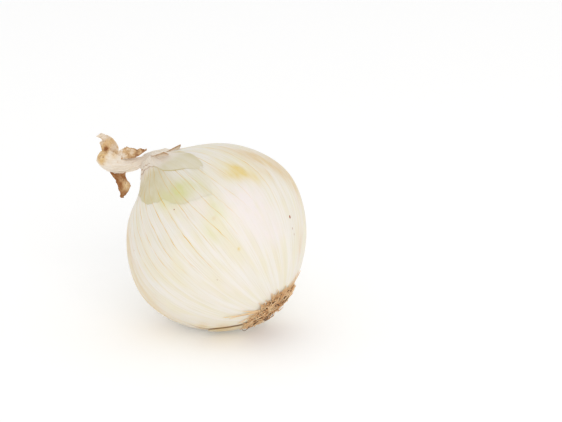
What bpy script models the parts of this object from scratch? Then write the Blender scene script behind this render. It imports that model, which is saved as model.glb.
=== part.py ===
"""A whole white onion lying on its side, with its dry neck, torn skins and root tuft.

Lengths are in millimetres until a mesh is made. The bulb, its skins and its roots are drawn in
the bulb's own frame: z runs along its axis to the neck, x is the side that faces the front when
the onion lies down, and a longitude is counted from x towards y. The neck is drawn in the
world's directions, from the middle of the bulb.
"""

import math
import random

import bmesh
import bpy
from mathutils import Matrix, Vector

METRES = 0.001

# How the onion lies: its neck end points left and back, and up
NECK_RISE_DEG = 38.6
NECK_BACK_DEG = 34.2
CENTRE_HEIGHT = 40.6

# The bulb, by height above its widest ring
BULB_RADIUS = 43.0
BULB_HALF_LENGTH = 42.4
BULB_FULLNESS = 1.8
BULB_LEAN = 0.05
BULB_LOBES = ((3, 0.22, 0.5), (5, 0.14, 2.3), (9, 0.06, 1.1))
SHOULDER_HEIGHT, SHOULDER_RADIUS, SHOULDER_SLOPE = 35.9, 20.2, -1.6
STUB_HEIGHT, STUB_RADIUS, STUB_SLOPE = 48.0, 5.0, -0.7
BULB_TOP = 46.0
ROOT_FACE_HEIGHT = -40.4
ROOT_DISH_DEPTH = 0.8
ROOT_DISH_RADIUS = 10.2
BULB_COLUMNS, BODY_ROWS, SHOULDER_ROWS = 72, 22, 8

# Where the skins bunch up beside the bent neck, and where they are drawn in: middle longitude in
# degrees and reach round the bulb, middle height and reach, then how far they push out
ALL_ROUND = 2000.0
GATHERS = (
    (-40.0, 50.0, 44.0, 3.0, 0.3),
    (-40.0, 50.0, 36.0, 4.0, -2.2),
    (75.0, 50.0, 44.0, 4.0, -2.5),
    (0.0, ALL_ROUND, 36.0, 5.0, -0.5),
)

# Touching pieces keep this gap, and a sheet of skin has this thickness
GAP = 0.3
SHEET = 0.6

# The torn edge of the outer skin left round the neck: longitude in degrees, height
COLLAR_TOP = 45.0
COLLAR_EDGE = (
    (-60, 35.0), (-38, 36.0), (-18, 31.5), (-8, 24.5), (-2, 22.5), (6, 20.3), (11, 14.8),
    (15, 12.3), (20, 10.8), (27, 9.0), (32, 7.5), (35, 11.5), (38, 19.0), (43, 21.5), (47, 27.0),
    (51, 34.0), (60, 40.0), (76, 41.0), (92, 38.5), (110, 33.0), (132, 30.5), (150, 24.5),
    (168, 27.5), (190, 33.0), (208, 29.0), (232, 26.0), (256, 33.5), (280, 37.0), (300, 35.0),
)
COLLAR_RADIUS = 38.0
COLLAR_COLUMNS, COLLAR_ROWS = 100, 7
COLLAR_FOLDS, COLLAR_FOLD_HEIGHT = 24, 0.25
COLLAR_JITTER = 0.6

# Two strips of that skin which have torn loose and stand off the shoulder:
# longitude, height and lift at the near and far end, width, thickness
STRIPS = (
    ((60.0, 43.6, 0.6), (87.0, 40.3, 2.0), 1.4, 0.7),
    ((26.0, 44.4, 0.7), (48.0, 41.8, 1.5), 2.4, 0.7),
)

# The flake of skin that peels off low down beside the roots: its two long edges, from the roots
# to its free end, as longitude, height and lift
FLAKE_FRONT = ((-50, -39.3, 0.3), (-53, -37.2, 0.35), (-57, -34.5, 0.45), (-61, -32.0, 0.55), (-67, -29.8, 0.6))
FLAKE_BACK = ((-94, -39.3, 0.3), (-94, -37.2, 0.3), (-91, -34.5, 0.3), (-87, -32.0, 0.3), (-77, -29.3, 0.4))
FLAKE_ROWS, FLAKE_COLUMNS = 9, 8
FLOOR_CLEARANCE = 0.5

# The dry neck: middle of each ring from the middle of the bulb, then its radius
# up and down and its radius front to back. Its first rings flare out to meet the collar
NECK_STATIONS = (
    (-28.4, 20.3, 30.5, 4.6, 4.6),
    (-31.2, 19.5, 29.4, 3.3, 3.2),
    (-34.3, 18.1, 28.8, 2.4, 2.2),
    (-37.7, 17.3, 28.1, 2.7, 2.3),
    (-41.3, 16.6, 27.9, 3.2, 2.7),
    (-44.6, 16.5, 28.9, 4.4, 3.7),
    (-47.8, 17.1, 30.1, 5.1, 4.2),
    (-51.1, 18.0, 31.2, 4.5, 3.6),
    (-53.5, 18.7, 31.6, 2.9, 2.5),
)
NECK_FLARE, NECK_FLARE_SHARE = 0.8, 0.16
NECK_COLUMNS, NECK_ROWS = 34, 25
NECK_PLEATS = ((5, 0.10, 0.0), (9, 0.06, 1.3), (14, 0.03, 0.4))
NECK_TWIST_DEG = 110.0
NECK_PIT_DEPTH = 1.6

# The withered leaf ends that the neck splits into: their two edges from the neck to the tip,
# from the middle of the bulb, then how far the blade cups
LEAF_ENDS = {
    "upper": (
        ((-51.1, 17.5, 32.2), (-51.6, 18.0, 35.5), (-52.1, 18.7, 38.1), (-52.5, 19.0, 39.9), (-53.9, 19.0, 41.4)),
        ((-44.9, 18.1, 32.9), (-44.8, 18.7, 36.2), (-46.2, 19.4, 38.5), (-48.2, 20.0, 40.2), (-52.2, 20.1, 42.2)),
        2.2,
    ),
    "side": (
        ((-45.9, 16.3, 30.1), (-42.1, 15.1, 31.9), (-37.7, 14.3, 32.6), (-34.8, 14.5, 33.2), (-31.6, 16.4, 35.2)),
        ((-45.9, 18.3, 33.2), (-42.6, 18.7, 35.1), (-40.5, 18.9, 35.9), (-36.4, 18.4, 35.2), (-31.4, 17.1, 35.5)),
        -1.0,
    ),
    "hanging": (
        ((-49.1, 16.0, 28.6), (-48.0, 14.3, 25.1), (-45.8, 12.7, 22.4), (-44.3, 11.1, 19.1), (-43.2, 9.5, 14.9)),
        ((-40.6, 15.7, 27.9), (-41.2, 14.5, 24.1), (-40.3, 13.5, 21.9), (-38.8, 11.9, 19.6), (-41.9, 9.7, 14.9)),
        -1.3,
    ),
}
LEAF_ROWS, LEAF_COLUMNS, LEAF_SHEET = 9, 6, 0.8
LEAF_RAGGED, LEAF_SEED = 0.35, 14

# The root plate and the rootlets that grow from it
PLATE_RADIUS = 9.7
PLATE_RIM_HEIGHT, PLATE_TOP_HEIGHT = -40.4, -41.6
PLATE_COLUMNS = 24
ROOTLETS = 92
ROOTLET_RADIUS, ROOTLET_TIP_RADIUS = 0.38, 0.26
ROOTLET_STEPS, ROOTLET_STEP = (3, 8), (0.8, 1.4)
ROOTLET_START_HEIGHT = -40.45
ROOTLET_CURL, ROOTLET_SPLAY, ROOTLET_CROWDING = 0.42, 1.9, 0.4
TUFT_DEPTH = 2.9
SEED = 11

COLOURS = {
    "bulb": ((0.86, 0.82, 0.70), 0.38),
    "skin_collar": ((0.66, 0.64, 0.44), 0.45),
    "loose_flake": ((0.74, 0.62, 0.40), 0.6),
    "neck": ((0.80, 0.66, 0.47), 0.7),
    "roots": ((0.52, 0.35, 0.19), 0.85),
}


def smooth_line(points, count):
    """Count points, evenly spread by index, on a Catmull-Rom curve through the given tuples."""
    ends = [points[0], *points, points[-1]]
    made = []
    for step in range(count):
        place = step * (len(points) - 1) / (count - 1)
        first = min(int(place), len(points) - 2)
        t = place - first
        made.append(
            [
                0.5 * (2 * b + (c - a) * t + (2 * a - 5 * b + 4 * c - d) * t**2 + (3 * b - a - 3 * c + d) * t**3)
                for a, b, c, d in zip(*ends[first : first + 4])
            ]
        )
    return made


def bulb_pose():
    """The bulb's frame in the world, in metres."""
    rise, back = math.radians(NECK_RISE_DEG), math.radians(NECK_BACK_DEG)
    neck = Vector((-math.cos(rise) * math.cos(back), math.cos(rise) * math.sin(back), math.sin(rise)))
    front = Vector((0, -1, 0))
    front = (front - front.dot(neck) * neck).normalized()
    turn = Matrix((front, neck.cross(front), neck)).transposed()
    return Matrix.Translation((0, 0, CENTRE_HEIGHT * METRES)) @ turn.to_4x4()


def plain_radius(height):
    """The bulb's radius at a height, before its lobes: a full curve, drawn in to the neck."""
    if height <= SHOULDER_HEIGHT:
        share = (abs(height) / BULB_HALF_LENGTH) ** BULB_FULLNESS
        return BULB_RADIUS * max(0.0, 1 - share) ** (1 / BULB_FULLNESS)
    span = STUB_HEIGHT - SHOULDER_HEIGHT
    t = (height - SHOULDER_HEIGHT) / span
    return (
        (2 * t**3 - 3 * t**2 + 1) * SHOULDER_RADIUS
        + (t**3 - 2 * t**2 + t) * span * SHOULDER_SLOPE
        + (3 * t**2 - 2 * t**3) * STUB_RADIUS
        + (t**3 - t**2) * span * STUB_SLOPE
    )


def bulb_radius(longitude, height):
    """The bulb's radius with its lobes and the bunched skins under the neck."""
    plain = plain_radius(height)
    lobes = sum(depth * math.cos(count * longitude + phase) for count, depth, phase in BULB_LOBES)
    radius = plain + lobes * plain / BULB_RADIUS
    for side, spread, middle, reach, push in GATHERS:
        away = (math.degrees(longitude) - side + 180) % 360 - 180
        radius += push * math.exp(-((away / spread) ** 2) - ((height - middle) / reach) ** 2)
    return radius


def bulb_point(longitude_deg, height, lift=0.0):
    """A point that stands off the bulb's skin by lift, in the bulb's frame."""
    longitude = math.radians(longitude_deg)
    nudge = 0.05
    radius = bulb_radius(longitude, height)
    slope = (bulb_radius(longitude, height + nudge) - bulb_radius(longitude, height - nudge)) / (2 * nudge)
    out, along = 1 / math.hypot(1, slope), -slope / math.hypot(1, slope)
    radius += lift * out
    height += lift * along
    return Vector(
        (radius * math.cos(longitude), radius * math.sin(longitude) + BULB_LEAN * height, height)
    )


def add_object(name, mesh, parent=None):
    """Names the mesh's object, gives it its material and hangs it on its parent."""
    obj = bpy.data.objects.new(name, mesh)
    bpy.context.scene.collection.objects.link(obj)
    obj.parent = parent
    if name in COLOURS:
        colour, roughness = COLOURS[name]
        material = bpy.data.materials.new(name)
        material.use_nodes = True
        shader = material.node_tree.nodes["Principled BSDF"]
        shader.inputs["Base Color"].default_value = (*colour, 1)
        shader.inputs["Roughness"].default_value = roughness
        shader.inputs["Metallic"].default_value = 0.0
        mesh.materials.append(material)
    return obj


def mesh_of(name, points, faces):
    """A smooth-shaded mesh from points in millimetres."""
    mesh = bpy.data.meshes.new(name)
    mesh.from_pydata([METRES * Vector(p) for p in points], [], faces)
    mesh.shade_smooth()
    return mesh


def ring_faces(rings, columns, closed):
    """Quads between rings of equal length. Closed joins the last ring to the first."""
    faces = []
    for row in range(rings if closed else rings - 1):
        low, high = row * columns, (row + 1) % rings * columns
        for column in range(columns):
            after = (column + 1) % columns
            faces.append((low + column, low + after, high + after, high + column))
    return faces


def tube_mesh(name, rings, first_end, last_end):
    """A closed tube: rings that run anticlockwise seen from ahead, and a fan to a middle point at each end."""
    columns = len(rings[0])
    points = [p for ring in rings for p in ring] + [first_end, last_end]
    faces = ring_faces(len(rings), columns, closed=False)
    first, last, top = len(points) - 2, len(points) - 1, (len(rings) - 1) * columns
    for column in range(columns):
        after = (column + 1) % columns
        faces.append((first, after, column))
        faces.append((last, top + column, top + after))
    return mesh_of(name, points, faces)


def blade_mesh(name, rows, thickness_of):
    """A thin closed blade round a grid of points: rows run from its root to its tip."""
    across = len(rows[0])
    front, back = [], []
    for row_number, row in enumerate(rows):
        before, after = rows[max(row_number - 1, 0)], rows[min(row_number + 1, len(rows) - 1)]
        for column, point in enumerate(row):
            along = after[column] - before[column]
            over = row[min(column + 1, across - 1)] - row[max(column - 1, 0)]
            half = over.cross(along).normalized() * thickness_of(row_number, column) / 2
            front.append(point + half)
            back.append(point - half)
    loops = []
    for row_number in range(len(rows)):
        start = row_number * across
        loops.append(front[start : start + across] + back[start : start + across][::-1])
    points = [p for loop in loops for p in loop]
    faces = ring_faces(len(loops), 2 * across, closed=False)
    last = (len(loops) - 1) * 2 * across
    for column in range(across - 1):
        other = 2 * across - 1 - column
        faces.append((other, other - 1, column + 1, column))
        faces.append((last + column, last + column + 1, last + other - 1, last + other))
    return mesh_of(name, points, faces)


def fuse(base, helpers):
    """Joins helper objects into base with one Boolean union, and removes them."""
    group = bpy.data.collections.new(base.name + "_helpers")
    bpy.context.scene.collection.children.link(group)
    for helper in helpers:
        group.objects.link(helper)
        bpy.context.scene.collection.objects.unlink(helper)
    union = base.modifiers.new("join", "BOOLEAN")
    union.operation = "UNION"
    union.operand_type = "COLLECTION"
    union.collection = group
    union.solver = "MANIFOLD"
    graph = bpy.context.evaluated_depsgraph_get()
    joined = bpy.data.meshes.new_from_object(base.evaluated_get(graph))
    base.modifiers.clear()
    base.data = joined
    for helper in helpers:
        bpy.data.objects.remove(helper)
    bpy.data.collections.remove(group)
    fill_hollows(joined)


def fill_hollows(mesh):
    """Removes every shell of a mesh but its largest: the small hollows shut in where tubes cross."""
    shape = bmesh.new()
    shape.from_mesh(mesh)
    left = set(shape.faces)
    shells = []
    while left:
        shell, front = set(), [next(iter(left))]
        while front:
            face = front.pop()
            if face not in shell:
                shell.add(face)
                front += [near for edge in face.edges for near in edge.link_faces]
        left -= shell
        shells.append(shell)
    shells.sort(key=len)
    hollows = [face for shell in shells[:-1] for face in shell]
    bmesh.ops.delete(shape, geom=hollows, context="FACES")
    shape.to_mesh(mesh)
    shape.free()


def make_bulb(frame):
    """The bulb with its root dish and the flat spot it rests on."""
    low = math.asin(ROOT_FACE_HEIGHT / BULB_HALF_LENGTH)
    high = math.asin(SHOULDER_HEIGHT / BULB_HALF_LENGTH)
    heights = [
        BULB_HALF_LENGTH * math.sin(low + (high - low) * row / (BODY_ROWS - 1)) for row in range(BODY_ROWS)
    ]
    step = (BULB_TOP - SHOULDER_HEIGHT) / SHOULDER_ROWS
    heights += [SHOULDER_HEIGHT + step * (row + 1) for row in range(SHOULDER_ROWS)]
    longitudes = [360 * column / BULB_COLUMNS for column in range(BULB_COLUMNS)]
    rings = [[bulb_point(longitude, height) for longitude in longitudes] for height in heights]
    floor = ROOT_FACE_HEIGHT + ROOT_DISH_DEPTH
    middle = Vector((0, BULB_LEAN * floor, floor))
    dish = []
    for longitude in map(math.radians, longitudes):
        dish.append(middle + ROOT_DISH_RADIUS * Vector((math.cos(longitude), math.sin(longitude), 0)))
    top = Vector((0, BULB_LEAN * BULB_TOP, BULB_TOP))
    bulb = add_object("bulb", tube_mesh("bulb", [dish, *rings], middle, top), frame)

    # The weight of the bulb has pressed a small flat where it lies
    to_bulb = bulb_pose().inverted()
    shape = bmesh.new()
    shape.from_mesh(bulb.data)
    bmesh.ops.bisect_plane(
        shape,
        geom=shape.verts[:] + shape.edges[:] + shape.faces[:],
        plane_co=to_bulb @ Vector((0, 0, 0)),
        plane_no=to_bulb.to_3x3() @ Vector((0, 0, -1)),
        clear_outer=True,
    )
    rim = [edge for edge in shape.edges if edge.is_boundary]
    bmesh.ops.contextual_create(shape, geom=rim)
    bmesh.ops.recalc_face_normals(shape, faces=shape.faces)
    shape.to_mesh(bulb.data)
    shape.free()
    bulb.data.set_sharp_from_angle(angle=math.radians(30))


def collar_edge():
    """Points of the torn edge, as far apart along the tear as each other, with small tears added."""
    rand = random.Random(SEED)
    start, height = COLLAR_EDGE[0]
    corners = [*COLLAR_EDGE, (start + 360, height)]
    across = math.radians(1) * COLLAR_RADIUS
    reach = [0.0]
    for (left, low), (right, high) in zip(corners, corners[1:]):
        reach.append(reach[-1] + math.hypot((right - left) * across, high - low))
    made, corner = [], 0
    for column in range(COLLAR_COLUMNS):
        far = reach[-1] * column / COLLAR_COLUMNS
        while reach[corner + 1] < far:
            corner += 1
        t = (far - reach[corner]) / (reach[corner + 1] - reach[corner])
        longitude, height = (a + (b - a) * t for a, b in zip(corners[corner], corners[corner + 1]))
        made.append((longitude, height + rand.uniform(-1, 1) * COLLAR_JITTER))
    return made


def make_collar(frame):
    """The outer skin left round the neck, its folds, and the strips torn from it."""
    loops = []
    for longitude, edge in collar_edge():
        fold = 0.5 + 0.5 * math.cos(COLLAR_FOLDS * math.radians(longitude))
        outer, inner = [], []
        for row in range(COLLAR_ROWS + 1):
            t = row / COLLAR_ROWS
            height = COLLAR_TOP + (edge - COLLAR_TOP) * t
            outer.append(bulb_point(longitude, height, GAP + SHEET + COLLAR_FOLD_HEIGHT * fold * (1 - t)))
            inner.append(bulb_point(longitude, height, GAP))
        loops.append(outer + inner[::-1])
    across = len(loops[0])
    points = [p for loop in loops for p in loop]
    collar = add_object(
        "skin_collar", mesh_of("skin_collar", points, ring_faces(len(loops), across, closed=True)), frame
    )
    strips = []
    for number, (near, far, width, thickness) in enumerate(STRIPS):
        rows = []
        for step in range(7):
            t = step / 6
            longitude, height, lift = (a + (b - a) * t for a, b in zip(near, far))
            middle = bulb_point(longitude, height, lift + GAP)
            over = bulb_point(longitude, height + 1, lift + GAP) - middle
            half = over.normalized() * width / 2 * (1 - 0.75 * t**2)
            rows.append([middle - half, middle - half / 3, middle + half / 3, middle + half])
        mesh = blade_mesh(f"strip_{number}", rows, lambda row, column, thick=thickness: thick)
        strips.append(add_object(f"strip_{number}", mesh, frame))
    fuse(collar, strips)


def make_flake(frame):
    """The loose flake of skin beside the roots, kept clear of the ground."""
    front, back = smooth_line(FLAKE_FRONT, FLAKE_ROWS), smooth_line(FLAKE_BACK, FLAKE_ROWS)
    pose = bulb_pose()
    lowest = (FLOOR_CLEARANCE + SHEET) * METRES
    rows = []
    for near, far in zip(front, back):
        row = []
        for column in range(FLAKE_COLUMNS):
            t = column / (FLAKE_COLUMNS - 1)
            longitude, height, lift = (a + (b - a) * t for a, b in zip(near, far))
            point = bulb_point(longitude, height, lift + SHEET / 2)
            low = pose @ (point * METRES)
            row.append(point if low.z > lowest else bulb_point(longitude, height, GAP + SHEET / 2))
        rows.append(row)
    add_object("loose_flake", blade_mesh("loose_flake", rows, lambda row, column: SHEET), frame)


def neck_rings():
    """The neck's rings: they start as the bulb's topmost ring, flared, and turn to follow the neck."""
    stations = smooth_line(NECK_STATIONS, NECK_ROWS)
    middles = [Vector(station[:3]) for station in stations]
    turn = bulb_pose().to_3x3()
    front, side, start = (turn @ Vector(axis) for axis in ((1, 0, 0), (0, 1, 0), (0, 0, 1)))
    rings = []
    for row, station in enumerate(stations):
        t = row / (NECK_ROWS - 1)
        along = (middles[min(row + 1, NECK_ROWS - 1)] - middles[max(row - 1, 0)]).normalized()
        follow = min(1.0, t / NECK_FLARE_SHARE)
        follow = follow * follow * (3 - 2 * follow)
        along = (start * (1 - follow) + along * follow).normalized()
        depth = Vector((0, 0, 1)).cross(along).normalized()
        upright = along.cross(depth)
        tall, deep = station[3:]
        ring = []
        for column in range(NECK_COLUMNS):
            longitude = 2 * math.pi * column / NECK_COLUMNS
            flared = front * math.cos(longitude) + side * math.sin(longitude)
            angle = math.atan2(flared.dot(upright), flared.dot(depth))
            turned = angle + math.radians(NECK_TWIST_DEG) * t
            pleat = 1 + sum(share * math.cos(count * turned + phase) for count, share, phase in NECK_PLEATS)
            narrow = (upright * (tall * math.sin(angle)) + depth * (deep * math.cos(angle))) * pleat
            flared *= bulb_radius(longitude, BULB_TOP) + NECK_FLARE
            ring.append(middles[row] + flared * (1 - follow) + narrow * follow)
        rings.append(ring)
    return rings, middles, along


def leaf_end(name, edges, seed, parent):
    """One withered leaf end: a cupped blade between two edges, with a ragged outline."""
    low, high, cup = edges
    rand = random.Random(seed)
    left = [Vector(p) for p in smooth_line(low, LEAF_ROWS)]
    right = [Vector(p) for p in smooth_line(high, LEAF_ROWS)]
    rows = []
    for row_number, (a, b) in enumerate(zip(left, right)):
        t = row_number / (LEAF_ROWS - 1)
        ahead = left[min(row_number + 1, LEAF_ROWS - 1)] - left[max(row_number - 1, 0)]
        out = ahead.cross(b - a).normalized()
        frayed = [rand.uniform(-1, 1) * LEAF_RAGGED * min(1.0, 2 * t) for _ in range(2)]
        a, b = a + (a - b).normalized() * frayed[0], b + (b - a).normalized() * frayed[1]
        row = []
        for column in range(LEAF_COLUMNS):
            s = column / (LEAF_COLUMNS - 1)
            row.append(a + (b - a) * s + out * (cup * 4 * s * (1 - s) * min(1.0, (b - a).length / 6)))
        rows.append(row)
    mesh = blade_mesh(name, rows, lambda row, column: LEAF_SHEET)
    return add_object(name, mesh, parent)


def make_neck(centre):
    """The dry, bent neck with a pit in its end, fused with its withered leaf ends."""
    rings, middles, along = neck_rings()
    pit = middles[-1] - along * NECK_PIT_DEPTH
    neck = add_object("neck", tube_mesh("neck", rings, middles[0], pit), centre)
    ends = [
        leaf_end(f"leaf_{name}", edges, LEAF_SEED + number, centre)
        for number, (name, edges) in enumerate(LEAF_ENDS.items())
    ]
    fuse(neck, ends)


def off_the_bulb(point):
    """Moves the middle of a rootlet out until the rootlet clears the bulb's root face and its skin."""
    radial = math.hypot(point.x, point.y - BULB_LEAN * point.z)
    clearance = GAP + 1.3 * ROOTLET_RADIUS
    if radial < plain_radius(ROOT_FACE_HEIGHT):
        return Vector((point.x, point.y, min(point.z, ROOT_FACE_HEIGHT - clearance)))
    size = (radial / BULB_RADIUS) ** BULB_FULLNESS + (abs(point.z) / BULB_HALF_LENGTH) ** BULB_FULLNESS
    size **= 1 / BULB_FULLNESS
    least = 1 + clearance / BULB_HALF_LENGTH
    return point if size >= least else point * (least / size)


def rootlet_line(number, rand, down):
    """The middle line of one rootlet: out of the plate, leaning outwards, then curling."""
    share = ((number + 0.5) / ROOTLETS) ** ROOTLET_CROWDING
    angle = number * math.pi * (3 - math.sqrt(5)) + rand.uniform(-0.3, 0.3)
    outward = Vector((math.cos(angle), math.sin(angle), 0))
    point = outward * share * (PLATE_RADIUS - 0.6) + Vector((0, BULB_LEAN * ROOTLET_START_HEIGHT, ROOTLET_START_HEIGHT))
    heading = (outward * (0.2 + 1.3 * share) + Vector((0, 0, ROOTLET_SPLAY * share**2 - 1))).normalized()
    bend = Vector([rand.gauss(0, 1) for _ in range(3)])
    line = [point]
    for _ in range(round(ROOTLET_STEPS[0] + (ROOTLET_STEPS[1] - ROOTLET_STEPS[0]) * share)):
        bend = (bend + 0.6 * Vector([rand.gauss(0, 1) for _ in range(3)])).normalized()
        heading = (heading + ROOTLET_CURL * bend).normalized()
        point = point + heading * rand.uniform(*ROOTLET_STEP)
        point.z = max(point.z, PLATE_RIM_HEIGHT - TUFT_DEPTH)
        point = off_the_bulb(point)
        if point.dot(down) > CENTRE_HEIGHT - FLOOR_CLEARANCE - ROOTLET_RADIUS:
            break
        line.append(point)
    return line


def rootlet_mesh(name, line):
    """A three-sided tapering tube along a line."""
    rings = []
    side = (line[1] - line[0]).orthogonal()
    for step, point in enumerate(line):
        along = (line[min(step + 1, len(line) - 1)] - line[max(step - 1, 0)]).normalized()
        side = (side - side.dot(along) * along).normalized()
        other = along.cross(side)
        t = step / max(1, len(line) - 1)
        radius = ROOTLET_RADIUS + (ROOTLET_TIP_RADIUS - ROOTLET_RADIUS) * t
        corners = [2 * math.pi * corner / 3 for corner in range(3)]
        rings.append([point + radius * (side * math.cos(a) + other * math.sin(a)) for a in corners])
    return tube_mesh(name, rings, line[0], line[-1])


def make_roots(frame):
    """The domed root plate with its rootlets, fused into one body."""
    rand = random.Random(SEED)
    bottom = ROOT_FACE_HEIGHT + ROOT_DISH_DEPTH - GAP
    profile = [(0.6 * PLATE_RADIUS, PLATE_TOP_HEIGHT), (PLATE_RADIUS, PLATE_RIM_HEIGHT), (PLATE_RADIUS, bottom)]
    rings = []
    for radius, height in profile:
        ring = []
        for column in range(PLATE_COLUMNS):
            angle = 2 * math.pi * column / PLATE_COLUMNS
            ring.append(Vector((radius * math.cos(angle), radius * math.sin(angle) + BULB_LEAN * height, height)))
        rings.append(ring)
    middles = [Vector((0, BULB_LEAN * height, height)) for height in (PLATE_TOP_HEIGHT, bottom)]
    plate = add_object("roots", tube_mesh("roots", rings, *middles), frame)
    down = bulb_pose().to_3x3().inverted() @ Vector((0, 0, -1))
    rootlets = []
    for number in range(ROOTLETS):
        line = rootlet_line(number, rand, down)
        if len(line) > 2:
            rootlets.append(add_object(f"rootlet_{number}", rootlet_mesh(f"rootlet_{number}", line), frame))
    fuse(plate, rootlets)


def main():
    for obj in list(bpy.data.objects):
        bpy.data.objects.remove(obj)
    frame = bpy.data.objects.new("bulb_frame", None)
    frame.matrix_world = bulb_pose()
    centre = bpy.data.objects.new("bulb_centre", None)
    centre.location = (0, 0, CENTRE_HEIGHT * METRES)
    for empty in (frame, centre):
        bpy.context.scene.collection.objects.link(empty)
    bpy.context.view_layer.update()
    make_bulb(frame)
    make_collar(frame)
    make_flake(frame)
    make_neck(centre)
    make_roots(frame)


main()
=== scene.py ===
"""Dresses a whole white onion: veined skin, torn outer skin, dry neck, loose flake and root tuft.

Lengths are in millimetres until a mesh is made. The bulb's own frame has z along its axis to the
neck and x on the side that faces the front, and a longitude is counted from x towards y. The neck
is drawn in the world's directions, from the middle of the bulb.
"""

import math
import random

import bpy
from mathutils import Matrix, Vector, noise


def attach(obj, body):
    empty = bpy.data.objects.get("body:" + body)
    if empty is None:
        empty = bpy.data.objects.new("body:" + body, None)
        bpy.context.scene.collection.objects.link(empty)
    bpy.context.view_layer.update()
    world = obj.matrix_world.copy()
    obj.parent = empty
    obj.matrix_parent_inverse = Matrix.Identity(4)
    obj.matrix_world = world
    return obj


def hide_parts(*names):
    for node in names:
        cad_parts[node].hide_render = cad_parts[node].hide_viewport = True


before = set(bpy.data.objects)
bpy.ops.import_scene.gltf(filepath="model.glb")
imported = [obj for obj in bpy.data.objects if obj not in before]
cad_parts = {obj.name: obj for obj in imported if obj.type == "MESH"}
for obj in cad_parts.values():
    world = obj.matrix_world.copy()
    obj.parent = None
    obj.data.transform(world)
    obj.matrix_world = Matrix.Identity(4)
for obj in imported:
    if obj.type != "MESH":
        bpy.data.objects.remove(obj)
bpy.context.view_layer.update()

bl_info = {
    "name": "White onion",
    "version": (1, 0, 0),
    "blender": (4, 5, 0),
    "location": "3D View > Sidebar > Onion",
    "description": "Builds the skin, neck and roots of a white onion round its solid model",
    "category": "Object",
}

METRES = 0.001
SEED = 11
SHEET_EDGE_DEG = 60.0

# How the onion lies, and its bulb by height above the widest ring, as in its solid model. Each lobe
# is a count round the bulb, a depth and a phase
NECK_RISE_DEG, NECK_BACK_DEG = 38.6, 34.2
CENTRE_HEIGHT = 40.6
BULB_RADIUS, BULB_HALF_LENGTH, BULB_FULLNESS = 43.0, 42.4, 1.8
BULB_LEAN = 0.05
BULB_LOBES = ((3, 0.22, 0.5), (5, 0.14, 2.3), (9, 0.06, 1.1))
SHOULDER_HEIGHT, SHOULDER_RADIUS, SHOULDER_SLOPE = 35.9, 20.2, -1.6
STUB_HEIGHT, STUB_RADIUS, STUB_SLOPE = 48.0, 5.0, -0.7
BULB_TOP = 46.0
ROOT_FACE_HEIGHT, ROOT_DISH_DEPTH, ROOT_DISH_RADIUS = -40.4, 0.8, 10.2

# The bunched skins under the neck: longitude and spread of each, its height and reach, and how far
# it pushes the bulb out
ALL_ROUND = 2000.0
GATHERS = (
    (-40.0, 50.0, 44.0, 3.0, 0.3),
    (-40.0, 50.0, 36.0, 4.0, -2.2),
    (75.0, 50.0, 44.0, 4.0, -2.5),
    (0.0, ALL_ROUND, 36.0, 5.0, -0.5),
)

# The veins that show in front: longitude by the neck, longitude by the roots, strength, and the
# height above which they show in full. The others follow them round at about the same spacing
FRONT_VEINS = (
    (-36.0, -36.0, 0.6, 4.0), (-29.5, -29.0, 0.7, 0.0), (-23.5, -22.5, 0.8, 6.0),
    (-17.0, -16.5, 0.85, 2.0), (-10.0, -10.0, 1.0, 4.0), (-3.0, -3.0, 1.0, -4.0),
    (4.5, 4.5, 1.0, -8.0), (12.5, 13.5, 0.7, 0.0), (17.0, 25.0, 0.9, -6.0), (25.5, 31.5, 0.85, 4.0),
    (30.0, 40.0, 0.7, 12.0), (38.0, 49.0, 0.75, 22.0), (46.5, 53.5, 0.75, 26.0),
    (54.5, 59.0, 0.5, 28.0),
)

# A real vein is finer than a pixel of the picture, 0.45 mm, so they are drawn wide enough to show
VEIN_HALF_WIDTH = 0.27
VEIN_WAVER = 0.55
COLUMNS_BETWEEN_VEINS = 4
SKIN_ROWS = 170

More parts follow.
